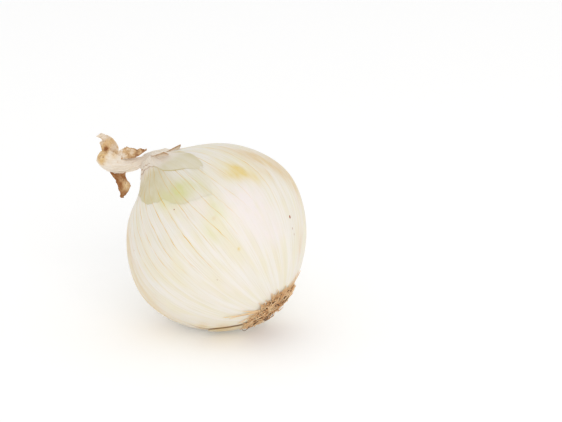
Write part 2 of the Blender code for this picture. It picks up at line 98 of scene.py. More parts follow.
# Stains on the skin, with a painted highlight and painted shade among them: longitude, height,
# reach round and along the bulb, amount
STAINS_AND_PAINTED_LIGHT = {
    "gold": (
        (56, 8.5, 4.5, 5.0, 0.42), (54, 11, 8, 7, 0.3), (82, 9, 5, 5, 0.3), (62, 2, 4.5, 5, 0.35),
        (48, 13, 8, 6, 0.2), (9, 13, 6, 4.5, 0.22), (25.5, -17.5, 1.0, 0.8, 0.7), (27, 6, 5, 7, 0.16),
        (200, 6, 7, 9, 0.4), (150, -8, 5, 8, 0.35), (262, 14, 8, 6, 0.35), (-70, -33, 16, 4, 0.25),
        (236, -20, 9, 7, 0.3),
    ),
    "green": (
        (29, 0, 4, 9, 0.45), (19, -5.5, 4, 6, 0.4), (36, 9, 5, 5, 0.08), (25, 12, 7, 5, 0.22),
        (9, 20.5, 10, 5, 0.6), (22, 17, 9, 5, 0.4), (60, 15, 7, 6, 0.2), (180, 18, 9, 8, 0.5),
        (235, 14, 8, 7, 0.4), (110, 22, 8, 7, 0.35), (290, 20, 7, 6, 0.4), (200, -12, 6, 10, 0.3),
    ),
    # The tan is partly real tan and partly painted shade: it darkens the bulb's rims, and at (-62, -34)
    # and (-59, -28) it browns the gap along the loose flake's front edge.
    "tan": (
        (76, 13, 6, 7, 0.85), (87, 5, 6, 9, 0.8), (70, 2, 4, 7, 0.4), (99, -3, 6, 14, 0.95),
        (-50, 8, 10, 18, 0.4), (-62, -34, 14, 2.6, 0.9), (-59, -28, 9, 2.2, 0.8),
        (-60, -6, 10, 16, 0.42), (-76, 2, 9, 26, 0.8), (-46, 22, 7, 9, 0.6), (88, -28, 5, 8, 0.6),
        (70, 24, 10, 8, 0.3), (24.5, -1.5, 1.1, 0.9, 0.8),
        (130, 10, 9, 16, 0.4), (170, -16, 8, 14, 0.3), (215, 20, 10, 9, 0.4), (250, -8, 8, 16, 0.35),
    ),
    # The rose is a pinkish tone all round, and on the front a painted highlight where the soft light
    # falls.
    "rose": (
        (43, -6, 11, 12, 0.9), (24, 8, 5, 6, 0.7), (52, -20, 11, 10, 0.5), (5, -24, 14, 8, 0.35),
        (160, 6, 12, 14, 0.4), (270, -6, 12, 14, 0.4),
    ),
}

# Small brown specks: longitude, height, radius, amount
SPECKS = (
    (74, -18.5, 0.8, 1.0), (74.5, -22.8, 0.55, 0.5), (76, -25, 0.5, 0.45), (1, -21, 0.4, 0.3),
    (8.6, 13.2, 0.4, 0.8), (-35, 14.5, 0.35, 0.5), (190, -5, 0.5, 0.8), (243, 9, 0.5, 0.7),
    (140, -20, 0.4, 0.6),
)

# The skin's other colours, a painted highlight and painted shade among them
SKIN_CODES = {
    "warm": "#E6DFC9", "streak": "#EBE6E0", "fibre": "#DDD3B9", "rose": "#ECE3E0", "tan": "#DDC59A",
    "green": "#D6D594", "gold": "#E0C66C", "rim": "#A87230",
}
SPECK_CODE = "#A04C10"

# What the torn outer skin and the loose flake add to those, or have instead
FILM_CODES = {"dry": "#EEE3D6", "moss": "#C2AC4E"}
FLAKE_CODES = {"plain": "#E6DAB8", "warm": "#DDCBA0", "fibre": "#C9AE78"}

# The dry neck's blotches, fibres, stages of ageing and painted crease shade, and the middle of the
# rootlets' colours
LEAF_CODES = {
    "blotch": "#E6D6C0", "fibre": "#D5BF9F", "ochre": "#DDBC85", "aged": "#D0AC7E", "fleck": "#A0693A",
    "dark": "#6E4526", "crease": "#B8966E",
}
ROOTLET_MIDDLE_CODE, TABLE_CLOUD_CODE = "#D6A068", "#F7F7F7"

# The outer skin left round the neck: its torn edge, as longitude and height, and the flap that
# lies over it
COLLAR_TOP = 45.3
COLLAR_EDGE = (
    (-60, 35.0), (-38, 36.0), (-18, 31.5), (-8, 24.5), (-2, 22.5), (6, 20.3), (11, 14.8),
    (15, 12.3), (20, 10.8), (27, 9.0), (32, 7.5), (35, 11.5), (38, 19.0), (43, 21.5), (47, 27.0),
    (51, 34.0), (60, 40.0), (76, 41.0), (92, 38.5), (110, 33.0), (132, 30.5), (150, 24.5),
    (168, 27.5), (190, 33.0), (208, 29.0), (232, 26.0), (256, 33.5), (280, 37.0), (300, 35.0),
)
COLLAR_ROWS = 46
FILM_LIFT, FILM_SHEET = 0.03, 0.04

# Where the outer skin is so thin that the bulb shows through: longitude and spread
FILM_FADE = (31.0, 15.0)

# The mantle: a second leaf of skin over the collar, which runs up on to the neck. Its lower edge
# is given as longitude and height
MANTLE_EDGE = (
    (-75, 42.0), (-56, 42.1), (-40, 42.2), (-21, 42.2), (-8, 41.8), (-2.5, 41.2), (7.5, 39.5),
    (12.5, 37.6), (14, 36.0), (15.5, 34.5), (18.5, 32.0), (22, 30.0), (25, 28.3), (28.5, 26.8), (33, 25.0),
    (36, 22.3), (39, 20.4), (40.5, 22.4), (42, 20.9), (44, 23.2), (46.5, 27.5), (50, 34.0),
    (54, 40.0), (64, 42.5), (110, 42.3), (180, 42.0), (240, 42.2),
)
MANTLE_TOP, MANTLE_REACH = 45.2, 0.2
MANTLE_ROWS, MANTLE_NECK_ROWS, MANTLE_COLUMNS = 26, 16, 300
MANTLE_RISE, MANTLE_RISE_FROM = 0.45, 41.0

# The radial folds round the neck, as count, share and phase, and the heights that they grow between
FOLDS = ((17, 0.45, 0.4), (29, 0.3, 2.1), (44, 0.22, 1.0))
FOLD_HEIGHT, FOLD_START, FOLD_FULL = 0.4, 27.0, 44.0

# How far the bulb's skin sinks in under the neck, and the low unevenness of all the skin
STUB_SINK, STUB_SINK_FROM, STUB_SINK_TO = 0.25, 40.0, 45.0
RELIEF_BROAD, RELIEF_FINE, RELIEF_SINK = (0.12, 13), (0.04, 4), 0.05

# The tears in an edge of skin: how deep, and how far apart
TEARS_WIDE, TEARS_NARROW, MANTLE_TEARS = (0.8, 1.9), (0.35, 0.6), 0.2

# Torn bits of that skin which stand up from the shoulder: longitude, height and lift at the near
# and far end, how high they stand, and where along them they are highest
STRIPS = (
    ((55.0, 42.9, 0.2), (86.0, 40.3, 0.35), 1.9, 0.9),
    ((10.0, 46.2, 0.5), (41.0, 38.8, 0.35), 3.0, 0.8),
)
STRIP_SHEET = 0.18

# The loose flake of skin low down beside the roots, by its two long edges: longitude, height and
# lift. The brown line on the bulb along its front edge is painted shade of the gap under that free
# edge, brown like the thin skin, and it runs on past the flake's tip
FLAKE_FRONT = (
    (-50, -39.3, 0.3), (-53, -37.2, 0.35), (-57, -34.5, 0.45), (-61, -32.0, 0.55), (-67, -29.8, 0.6),
)
FLAKE_BACK = (
    (-94, -39.3, 0.3), (-94, -37.2, 0.3), (-91, -34.5, 0.3), (-87, -32.0, 0.3), (-77, -29.3, 0.4),
)
FLAKE_SHADE_END = [(-63.0, -26.0), (-58.5, -23.0), (-54.0, -19.0)]
FLAKE_SHADE_SIDE, FLAKE_SHADE_WIDTH = 0.4, 1.3
FLAKE_ROWS, FLAKE_COLUMNS, FLAKE_SHEET = 60, 44, 0.1
FLOOR_CLEARANCE = 0.25

# The dry neck: middle of each ring from the middle of the bulb, radius up and down, front to back
NECK_STATIONS = (
    (-28.4, 20.3, 30.5, 4.6, 4.6), (-31.2, 19.5, 29.3, 3.2, 3.2), (-34.3, 18.1, 28.7, 2.5, 2.2),
    (-37.7, 17.3, 28.2, 2.8, 2.4), (-41.3, 16.6, 27.8, 3.0, 2.7), (-44.6, 16.5, 28.5, 3.9, 3.6),
    (-47.8, 17.1, 29.5, 4.5, 4.0), (-51.1, 18.0, 30.6, 3.9, 3.5), (-53.4, 18.6, 31.3, 2.4, 2.3),
)

# The neck's foot stands off the bulb's stub, narrows over a share of the neck's length and starts
# in a skirt over the shoulder, given as height and lift. Pleats are count, depth and phase, and the
# pit in the neck's end is rings by their share of the end's size and their depth
NECK_FLARE, NECK_FLARE_SHARE = 0.4, 0.16
NECK_SKIRT = ((41.5, 0.04), (42.8, 0.1), (44.0, 0.24), (45.1, 0.46))
NECK_COLUMNS, NECK_ROWS = 150, 150
NECK_PLEATS = ((5, 0.06, 0.0), (9, 0.04, 1.3), (14, 0.03, 0.4), (23, 0.02, 2.0), (37, 0.012, 0.9))
NECK_TWIST_DEG = 110.0
PIT_RINGS = ((0.82, -0.2), (0.55, 0.7), (0.28, 1.5))

# The withered leaf ends: their two edges from the neck to the tip, from the middle of the bulb,
# how far the blade cups, how brown its root, its tip and its edges are, and how frayed the edges
LEAF_ENDS = {
    "upper": (
        ((-51.3, 16.6, 31.2), (-51.6, 17.7, 35.0), (-52.3, 18.6, 37.9), (-51.2, 19.0, 39.5),
         (-54.2, 19.0, 41.2)),
        ((-44.6, 17.2, 31.6), (-44.5, 18.4, 35.8), (-46.1, 19.3, 38.5), (-48.2, 20.0, 40.4),
         (-52.2, 20.1, 42.05)),
        2.4, 0.05, 0.1, 0.12, (0.35, 0.3),
    ),
    "side": (
        ((-45.9, 16.3, 30.8), (-42.1, 15.0, 31.7), (-37.7, 14.3, 32.3), (-34.8, 14.5, 33.4),
         (-31.6, 16.4, 35.2)),
        ((-45.9, 18.3, 33.2), (-42.6, 18.7, 35.1), (-40.5, 18.9, 35.9), (-36.4, 18.4, 35.2),
         (-31.4, 17.1, 35.5)),
        -1.0, 0.25, 0.5, 0.3, (0.15, 0.8),
    ),
    "hanging": (
        ((-49.1, 16.0, 28.6), (-48.0, 14.3, 25.1), (-45.8, 12.7, 22.4), (-44.3, 11.1, 19.1),
         (-43.2, 9.5, 14.9)),
        ((-40.6, 15.7, 27.9), (-41.2, 14.5, 24.1), (-40.3, 13.5, 21.9), (-38.8, 11.9, 19.6),
         (-41.9, 9.7, 14.9)),
        -1.3, 1.0, 0.92, 0.3, (0.45, 0.45),
    ),
}
LEAF_ROWS, LEAF_COLUMNS, LEAF_SHEET = 56, 34, 0.34

# Where the neck and its leaf ends are ochre or brown: right and up from the middle of the bulb,
# reach, amount of ochre, amount of brown. The brown at (-50.1, 34.9) is painted shade in the hole
# where the upper leaf's scoop meets the neck
NECK_STAINS_AND_SHADE = (
    (-52.0, 32.4, 3.0, 0.8, 0.0), (-50.5, 36.2, 2.6, 0.7, 0.1), (-50.1, 34.9, 1.15, 0.5, 1.0),
    (-47.2, 38.2, 2.5, 0.7, 0.0), (-50.9, 32.7, 0.5, 0.2, 0.7), (-53.0, 32.0, 0.8, 0.4, 0.6),
    (-44.8, 35.9, 0.6, 0.4, 0.5), (-45.8, 33.4, 1.6, 0.6, 0.15), (-42.6, 31.6, 0.45, 0.2, 0.5),
    (-40.0, 33.6, 1.9, 0.7, 0.1), (-39.5, 32.6, 0.5, 0.3, 0.5), (-35.8, 33.4, 1.1, 0.5, 0.4),
    (-51.6, 30.2, 1.6, 0.5, 0.1), (-44.5, 30.6, 0.5, 0.2, 0.3), (-33.0, 35.0, 0.8, 0.3, 0.9),
    (-40.4, 19.6, 2.0, 0.9, -0.75), (-47.4, 24.6, 0.6, 0.0, 0.6), (-46.4, 23.4, 0.6, 0.0, 0.7),
    (-45.4, 22.0, 0.6, 0.0, 0.9), (-44.4, 20.6, 0.6, 0.0, 0.8),
)

# The root plate, and how thick the rootlets on it are at their root and tip
PLATE_RADIUS, PLATE_RIM_HEIGHT, PLATE_TOP_HEIGHT = 9.7, -40.4, -41.3
ROOTLET_RADIUS, ROOTLET_TIP_RADIUS, ROOTLET_STEP = 0.27, 0.1, 0.55

# How far the tuft stands out and reaches, and the side where it is thinner
TUFT_DEPTH, TUFT_REACH = 3.4, 15.0
TUFT_THIN_SIDE, TUFT_THINNING = 78.0, 0.4

# The share of old, dark rootlets, and how pale they and the plate are
OLD_ROOTLET_SHARE, OLD_TONE, PLATE_TONE = 0.2, 0.03, 0.02

# The groups of rootlets: how many, steps in each, how far they lean back over the skin at first,
# how strongly they curl, the longitudes they fill, and the part of the plate's radius they grow on
ROOTLET_GROUPS = (
    (230, (11, 19), -0.5, 0.5, (-180, 180), (0.0, 0.9)),
    (240, (10, 17), 0.0, 0.48, (-180, 180), (0.6, 1.0)),
    (200, (8, 13), 0.42, 0.36, (-180, 180), (0.9, 1.0)),
    (80, (9, 15), 0.2, 0.45, (-60, 70), (0.8, 1.0)),
)

# The fringe of fine rootlets over the skin: how many, and the heights that they start at and reach
FRINGE_COUNT, FRINGE_START, FRINGE_REACH = 420, -40.1, (-39.3, -37.4)

# Fine rootlets that lie over the skin: how many together, how far the tip stands off, then the
# longitude and height of points along them
WISPS = (
    (3, 0.2, ((-6, -39.9), (-15, -37.8), (-20.5, -36.0), (-26, -33.7), (-29, -32.2))),
    (3, 0.3, ((-3, -39.9), (-8, -38.2), (-10, -36.8), (-11.5, -35.5))),
    (4, 0.3, ((4, -40.0), (8, -38.8), (9, -37.4))),
    (4, 0.3, ((18, -40.0), (20, -39.0), (19, -38.0))),
    (4, 0.3, ((28, -40.0), (31, -38.8), (31.5, -37.2))),
    (4, 0.3, ((40, -40.1), (43, -38.8), (42, -37.6))),
    (3, 0.4, ((58, -40.0), (64, -38.9), (62, -38.0))),
    (2, 0.4, ((74, -40.0), (82, -38.4), (88, -37.2), (90, -36.3))),
    (3, 0.5, ((84, -40.0), (93, -38.6), (97, -37.3), (98, -35.9))),
    (3, 0.4, ((-16, -40.0), (-24, -38.6), (-34, -37.0), (-38, -36.0))),
    (3, 0.9, ((-26, -40.1), (-38, -39.6), (-46, -39.0), (-52, -38.2))),
    (3, 0.4, ((165, -40.0), (170, -37.8), (168, -36.0))),
    (3, 0.4, ((230, -40.0), (224, -37.8), (228, -36.0))),
    (3, 0.4, ((270, -40.0), (274, -38.2), (270, -37.0))),
)

# The ground's half width and the soft light's size and place, in metres
TABLE_HALF, LAMP_SIZE, LAMP_PLACE, LAMP_COLOUR = 4.0, 1.5, (0.66, -1.72, 1.22), (1.0, 0.985, 0.97)

# Where the camera stands, from the middle of the bulb
CAMERA_ELEVATION_DEG, CAMERA_DISTANCE, CAMERA_LENS, CAMERA_SENSOR = 22.0, 700.8, 100.0, 36.0
AIM_RIGHT, AIM_UP = 29.04, 11.49


def linear(code):
    """The linear colour, with alpha, of an sRGB hex code."""
    channels = [int(code[place : place + 2], 16) / 255 for place in (1, 3, 5)]
    return (*(c / 12.92 if c <= 0.04045 else ((c + 0.055) / 1.055) ** 2.4 for c in channels), 1.0)


def linear_codes(codes):
    """Named hex codes as named linear colours."""
    return {name: linear(code) for name, code in codes.items()}


def smooth_line(points, count):
    """Count points, evenly spread by index, on a Catmull-Rom curve through the given tuples."""
    ends = [points[0], *points, points[-1]]
    made = []
    for step in range(count):
        place = step * (len(points) - 1) / (count - 1)
        first = min(int(place), len(points) - 2)
        t = place - first
        made.append(
            [
                0.5 * (2 * b + (c - a) * t + (2 * a - 5 * b + 4 * c - d) * t**2
                       + (3 * b - a - 3 * c + d) * t**3)
                for a, b, c, d in zip(*ends[first : first + 4])
            ]
        )
    return made


def ease(value, low, high):
    """0 below low, 1 above high, and a smooth rise between them."""
    t = min(1.0, max(0.0, (value - low) / (high - low)))
    return t * t * (3 - 2 * t)


def turned_apart(longitude, other):
    """How far a longitude is from another, from -180 to 180 degrees."""
    return (longitude - other + 180) % 360 - 180


def bulb_pose():
    """The bulb's frame in the world, in metres."""
    rise, back = math.radians(NECK_RISE_DEG), math.radians(NECK_BACK_DEG)
    neck = Vector((-math.cos(rise) * math.cos(back), math.cos(rise) * math.sin(back), math.sin(rise)))
    front = Vector((0, -1, 0))
    front = (front - front.dot(neck) * neck).normalized()
    turn = Matrix((front, neck.cross(front), neck)).transposed()
    return Matrix.Translation((0, 0, CENTRE_HEIGHT * METRES)) @ turn.to_4x4()


def plain_radius(height):
    """The bulb's radius at a height, before its lobes: a full curve, drawn in to the neck."""
    if height <= SHOULDER_HEIGHT:
        share = (abs(height) / BULB_HALF_LENGTH) ** BULB_FULLNESS
        return BULB_RADIUS * max(0.0, 1 - share) ** (1 / BULB_FULLNESS)
    span = STUB_HEIGHT - SHOULDER_HEIGHT
    t = (height - SHOULDER_HEIGHT) / span
    return (
        (2 * t**3 - 3 * t**2 + 1) * SHOULDER_RADIUS
        + (t**3 - 2 * t**2 + t) * span * SHOULDER_SLOPE
        + (3 * t**2 - 2 * t**3) * STUB_RADIUS
        + (t**3 - t**2) * span * STUB_SLOPE
    )


def bulb_radius(longitude, height):
    """The bulb's radius with its lobes and the bunched skins under the neck."""
    plain = plain_radius(height)
    lobes = sum(depth * math.cos(count * longitude + phase) for count, depth, phase in BULB_LOBES)
    radius = plain + lobes * plain / BULB_RADIUS
    for side, spread, middle, reach, push in GATHERS:
        away = turned_apart(math.degrees(longitude), side)
        radius += push * math.exp(-((away / spread) ** 2) - ((height - middle) / reach) ** 2)
    return radius


def bulb_point(longitude_deg, height, lift=0.0):
    """A point that stands off the bulb's skin by lift, in the bulb's frame."""
    longitude = math.radians(longitude_deg)
    nudge = 0.05
    radius = bulb_radius(longitude, height)
    above, below = bulb_radius(longitude, height + nudge), bulb_radius(longitude, height - nudge)
    slope = (above - below) / (2 * nudge)
    out, along = 1 / math.hypot(1, slope), -slope / math.hypot(1, slope)
    radius += lift * out
    height += lift * along
    return Vector(
        (radius * math.cos(longitude), radius * math.sin(longitude) + BULB_LEAN * height, height)
    )


def grain_of(longitude_deg, height):
    """A point on a plain cylinder, which patterns that run from neck to root are drawn on."""
    longitude = math.radians(longitude_deg)
    return Vector((BULB_RADIUS * math.cos(longitude), BULB_RADIUS * math.sin(longitude), height))


def fold(longitude_deg, height):
    """How far the radial folds round the neck lift the skin."""
    longitude = math.radians(longitude_deg)
    wave = sum(share * math.cos(count * longitude + phase) for count, share, phase in FOLDS)
    return FOLD_HEIGHT * wave * ease(height, FOLD_START, FOLD_FULL)


def relief(longitude_deg, height):
    """The skin's own low unevenness, in millimetres."""
    place = grain_of(longitude_deg, height)
    (broad, broad_reach), (fine, fine_reach) = RELIEF_BROAD, RELIEF_FINE
    broad *= noise.noise(place / broad_reach)
    return broad + fine * noise.noise(place / fine_reach) - RELIEF_SINK


def stain_and_painted_light(kind, longitude_deg, height):
    """How strongly one kind of patch colours the skin at a place: stains, with painted highlight and
    painted shade in some kinds.
    """
    place = grain_of(longitude_deg, height)
    total = 0.0
    for middle, middle_height, around, along, amount in STAINS_AND_PAINTED_LIGHT[kind]:
        off = math.radians(turned_apart(longitude_deg, middle)) * BULB_RADIUS / around
        total += amount * math.exp(-(off**2) - ((height - middle_height) / along) ** 2)
    streak = noise.noise(Vector((place.x / 2.2, place.y / 2.2, place.z / 9)))
    return max(0.0, min(1.0, total * (1 + 0.7 * streak)))


class Shape:
    """Points, faces and named values of a mesh while it is put together."""

    def __init__(self):
        self.points, self.faces, self.values = [], [], {}

    def add(self, points, faces, **values):
        """Adds a closed form. Each value has one number or vector for each point."""
        start = len(self.points)
        self.points += points
        self.faces += [tuple(start + corner for corner in face) for face in faces]
        for name, numbers in values.items():
            self.values.setdefault(name, []).extend(numbers)

    def to_object(self, name, pose, sharp_deg=180.0):
        """Makes the mesh object, in metres and in the world's frame, shaded smooth up to an angle."""
        mesh = bpy.data.meshes.new(name)
        mesh.from_pydata([pose @ (METRES * Vector(p)) for p in self.points], [], self.faces)
        mesh.shade_smooth()
        mesh.set_sharp_from_angle(angle=math.radians(sharp_deg))
        for value_name, numbers in self.values.items():
            if isinstance(numbers[0], Vector):
                attribute = mesh.attributes.new(value_name, "FLOAT_VECTOR", "POINT")
                attribute.data.foreach_set("vector", [n for number in numbers for n in number])
            else:
                attribute = mesh.attributes.new(value_name, "FLOAT", "POINT")
                attribute.data.foreach_set("value", numbers)
        obj = bpy.data.objects.new(name, mesh)
        bpy.context.scene.collection.objects.link(obj)
        return obj


def add_tube(shape, rings, first_end, last_end, **values):
    """A closed tube through rings, with a fan to a middle point at each end."""
    columns = len(rings[0])
    points = [p for ring in rings for p in ring] + [first_end, last_end]
    first, last, top = len(points) - 2, len(points) - 1, (len(rings) - 1) * columns
    faces = []
    for column in range(columns):
        after = (column + 1) % columns
        for row in range(len(rings) - 1):
            low, high = row * columns, (row + 1) * columns
            faces.append((low + column, low + after, high + after, high + column))
        faces.append((first, after, column))
        faces.append((last, top + column, top + after))
    shape.add(points, faces, **values)


def add_sheet(shape, grid, thickness, closed=False, **values):
    """A thin closed sheet under a grid of points. Closed joins its last column to its first."""
    rows, columns = len(grid), len(grid[0])
    under = []
    for row in range(rows):
        for column in range(columns):
            before = (column - 1) % columns if closed else max(column - 1, 0)
            after = (column + 1) % columns if closed else min(column + 1, columns - 1)
            across = grid[row][after] - grid[row][before]
            along = grid[min(row + 1, rows - 1)][column] - grid[max(row - 1, 0)][column]
            under.append(grid[row][column] - across.cross(along).normalized() * thickness)
    total = rows * columns
    faces = []
    for row in range(rows - 1):
        for column in range(columns if closed else columns - 1):
            after = (column + 1) % columns
            a, b = row * columns + column, row * columns + after
            c, d = b + columns, a + columns
            faces.append((a, b, c, d))
            faces.append((total + d, total + c, total + b, total + a))
    for column in range(columns if closed else columns - 1):
        after = (column + 1) % columns
        faces.append((after, column, total + column, total + after))
        end = (rows - 1) * columns
        faces.append((end + column, end + after, total + end + after, total + end + column))
    if not closed:
        for row in range(rows - 1):
            left, right = row * columns, row * columns + columns - 1
            faces.append((left, left + columns, total + left + columns, total + left))
            faces.append((right + columns, right, total + right, total + right + columns))
    points = [p for row in grid for p in row] + under
    shape.add(points, faces, **{name: numbers * 2 for name, numbers in values.items()})


def veins():
    """Every vein round the bulb, as FRONT_VEINS gives them."""
    rand = random.Random(SEED)
    made = list(FRONT_VEINS)
    start, end = FRONT_VEINS[-1][1], FRONT_VEINS[0][1] + 360
    count = round((end - start) / bpy.context.scene.onion_look.vein_spacing) - 1
    for number in range(1, count + 1):
        longitude = start + (end - start) * number / (count + 1)
        top = longitude + rand.uniform(-1.6, 1.6)
        bottom = longitude + rand.uniform(-1.6, 1.6)
        made.append((top, bottom, rand.uniform(0.5, 0.95), rand.uniform(-5.0, 20.0)))
    return made


def vein_longitude(vein, number, height):
    """Where a vein runs at a height, with its slight waver."""
    top, bottom = vein[:2]
    share = ease(height, -30.0, 24.0)
    waver = noise.noise(Vector((number * 7.3, height / 8, 0)))
    waver += 0.4 * noise.noise(Vector((number, height / 2.5, 4)))
    fade = min(1.0, plain_radius(height) / BULB_RADIUS * 1.3)
    return bottom + (top - bottom) * share + math.degrees(VEIN_WAVER * waver * fade / BULB_RADIUS)


def vein_strength(vein, number, height):
    """How strongly a vein shows at a height: most on the shoulder, and in broken stretches."""
    broken = 0.8 + 0.7 * noise.noise(Vector((number * 3.1, height / 5, 9)))
    shown = 0.12 + 0.88 * ease(height, -24.0, vein[3] + 4.0)
    return max(0.0, min(1.0, 0.88 * vein[2] * broken * shown)) * (1 - 0.6 * ease(height, 38.0, 46.0))


def skin_columns(all_veins):
    """The columns that the skin's mesh is built on: a vein's number, the share of the way from it to
    the next vein, and the side of the vein that a column next to it is on."""
    steps = COLUMNS_BETWEEN_VEINS + 1
    made = []
    for number in range(len(all_veins)):
        made += [(number, 0.0, -1), (number, 0.0, 0), (number, 0.0, 1)]
        made += [(number, step / steps, 0) for step in range(1, steps)]
    return made


def column_longitude(all_veins, column, height):
    """The longitude of a column of the skin's mesh at a height."""
    number, share, side = column
    after = (number + 1) % len(all_veins)
    here = vein_longitude(all_veins[number], number, height)
    gap = turned_apart(vein_longitude(all_veins[after], after, height), here)
    width = math.degrees(VEIN_HALF_WIDTH / max(plain_radius(height), 1.0))
    return here + gap * share + side * min(width, 0.9)


def skin_values(longitude, height, vein, **more):
    """The values that colour one point of a skin."""
    values = {"grain": grain_of(longitude, height), "vein": vein, **more}
    for kind in STAINS_AND_PAINTED_LIGHT:
        values[kind] = stain_and_painted_light(kind, longitude, height)
    return values


def gathered(rows):
    """Turns a list of dictionaries into a dictionary of lists."""
    return {name: [row[name] for row in rows] for name in rows[0]}


def skin_heights():
    """Heights of the skin's rings, evenly spread along the bulb's outline."""
    fine = 2000
    span = BULB_TOP - ROOT_FACE_HEIGHT
    heights = [ROOT_FACE_HEIGHT + span * step / fine for step in range(fine + 1)]
    reach = [0.0]
    for low, high in zip(heights, heights[1:]):
        reach.append(reach[-1] + math.hypot(high - low, plain_radius(high) - plain_radius(low)))
    made, place = [], 0
    for row in range(SKIN_ROWS):
        far = reach[-1] * row / (SKIN_ROWS - 1)
        while place < fine and reach[place] < far:
            place += 1
        made.append(heights[place])
    return made


def on_the_floor(point, to_world, clearance=0.0):
    """The same point, raised along the world's up if it lies lower than the clearance."""
    world = to_world @ (point * METRES)
    low = clearance * METRES - world.z
    return point if low <= 0 else point + (to_world.to_3x3().inverted() @ Vector((0, 0, low))) / METRES


def flake_gap_shade(longitude, height):
    """How brown the bulb is beside the loose flake's free edge, and on past its tip: painted shade of the
    gap under that edge.
    """
    corners = [corner[:2] for corner in FLAKE_FRONT] + FLAKE_SHADE_END
    for (near, low), (far, high) in zip(corners, corners[1:]):
        if low <= height <= high:
            edge = near + (far - near) * (height - low) / (high - low)
            away = math.radians(turned_apart(longitude, edge)) * plain_radius(height)
            strength = 1 - ease(height, FLAKE_FRONT[-1][1], FLAKE_SHADE_END[-1][1])
            return strength * math.exp(-(((away + FLAKE_SHADE_SIDE) / FLAKE_SHADE_WIDTH) ** 2))
    return 0.0


def build_bulb():
    """The bulb's skin, with a row of points along each vein."""
    all_veins = veins()
    columns = skin_columns(all_veins)
    pose = bulb_pose()
    rings, colours = [], []
    floor = ROOT_FACE_HEIGHT + ROOT_DISH_DEPTH
    middle = Vector((0, BULB_LEAN * floor, floor))
    heights = skin_heights()
    dish = [column_longitude(all_veins, column, heights[0]) for column in columns]
    rings.append([middle + ROOT_DISH_RADIUS * (grain_of(lon, 0) / BULB_RADIUS) for lon in dish])
    colours += [skin_values(lon, floor, 0.0, rim=0.0) for lon in dish]
    for height in heights:
        ring = []
        for column in columns:
            lon = column_longitude(all_veins, column, height)
            number, share, side = column
            on_vein = share == 0 and side == 0
            vein = vein_strength(all_veins[number], number, height) if on_vein else 0.0
            fade = ease(height, ROOT_FACE_HEIGHT, -36.0)
            sink = STUB_SINK * ease(height, STUB_SINK_FROM, STUB_SINK_TO)
            lift = relief(lon, height) * fade - sink + fold(lon, height)
            ring.append(on_the_floor(bulb_point(lon, height, lift), pose))
            # Beside the flake's free edge the skin is browned: painted shade of the gap there.
            colours.append(skin_values(lon, height, vein, rim=flake_gap_shade(lon, height)))
        rings.append(ring)
    top = Vector((0, BULB_LEAN * BULB_TOP, BULB_TOP))
    colours += [skin_values(0, height, 0.0, rim=0.0) for height in (floor, BULB_TOP)]
    shape = Shape()
    add_tube(shape, rings, middle, top, **gathered(colours))
    return shape.to_object("bulb_skin", pose)


def edge_height(edge, longitude, tears=1.0):
    """The height of a torn edge at a longitude, with small tears added."""
    corners = [*edge, (edge[0][0] + 360, edge[0][1])]
    place = (longitude - corners[0][0]) % 360 + corners[0][0]
    height = corners[-1][1]
    for (left, low), (right, high) in zip(corners, corners[1:]):
        if left <= place <= right:
            height = low + (high - low) * (place - left) / (right - left)
            break
    spot = grain_of(longitude, 0)
    (wide, wide_apart), (narrow, narrow_apart) = TEARS_WIDE, TEARS_NARROW
    wide *= noise.noise(spot / wide_apart)
    return height + tears * (wide + narrow * noise.noise(spot / narrow_apart))


def film_lift(longitude, height, below_edge):
    """How far the outer skin stands off: it hugs the bulb, and its edge curls up a little in places."""
    curl = max(0.0, noise.noise(grain_of(longitude, height) / 6)) * math.exp(-below_edge / 1.6)
    return FILM_LIFT + FILM_SHEET + fold(longitude, height) + 0.06 * curl


def film_values(longitude, height, vein=0.0, rim=0.0, moss=0.0, dry=1.0, fade=1.0):
    """The values that colour one point of the outer skin, which fades into the bulb on its right.

    It is paler round the back too, where its colour is a guess."""
    faint = fade * math.exp(-((turned_apart(longitude, FILM_FADE[0]) / FILM_FADE[1]) ** 2))
    hidden = ease(abs(turned_apart(longitude, 0)), 60.0, 110.0)
    film = max(0.85 * (1 - faint) - 0.25 * hidden, dry)
    film *= 1 + 0.3 * noise.noise(grain_of(longitude, height) / 6)
    return skin_values(longitude, height, vein, rim=rim, moss=moss, dry=dry, film=min(1.0, film))


def add_collar(shape, all_veins, columns):
    """The outer skin that is left all round the neck, down to its torn edge."""
    grid, colours = [[] for _ in range(COLLAR_ROWS)], [[] for _ in range(COLLAR_ROWS)]
    for column in columns:
        edge = 30.0
        for _ in range(3):
            edge = edge_height(COLLAR_EDGE, column_longitude(all_veins, column, edge))
        number, share, side = column
        for row in range(COLLAR_ROWS):
            height = COLLAR_TOP + (edge - COLLAR_TOP) * row / (COLLAR_ROWS - 1)
            lon = column_longitude(all_veins, column, height)
            on_vein = share == 0 and side == 0
            vein = 0.9 * vein_strength(all_veins[number], number, height) if on_vein else 0.0
            from_edge = height - edge
            lift = relief(lon, height) + film_lift(lon, height, from_edge)
            grid[row].append(bulb_point(lon, height, lift))
            colours[row].append(film_values(lon, height, vein=vein, dry=ease(height, 35.0, 43.5)))
    add_sheet(shape, grid, FILM_SHEET, closed=True, **gathered([c for row in colours for c in row]))


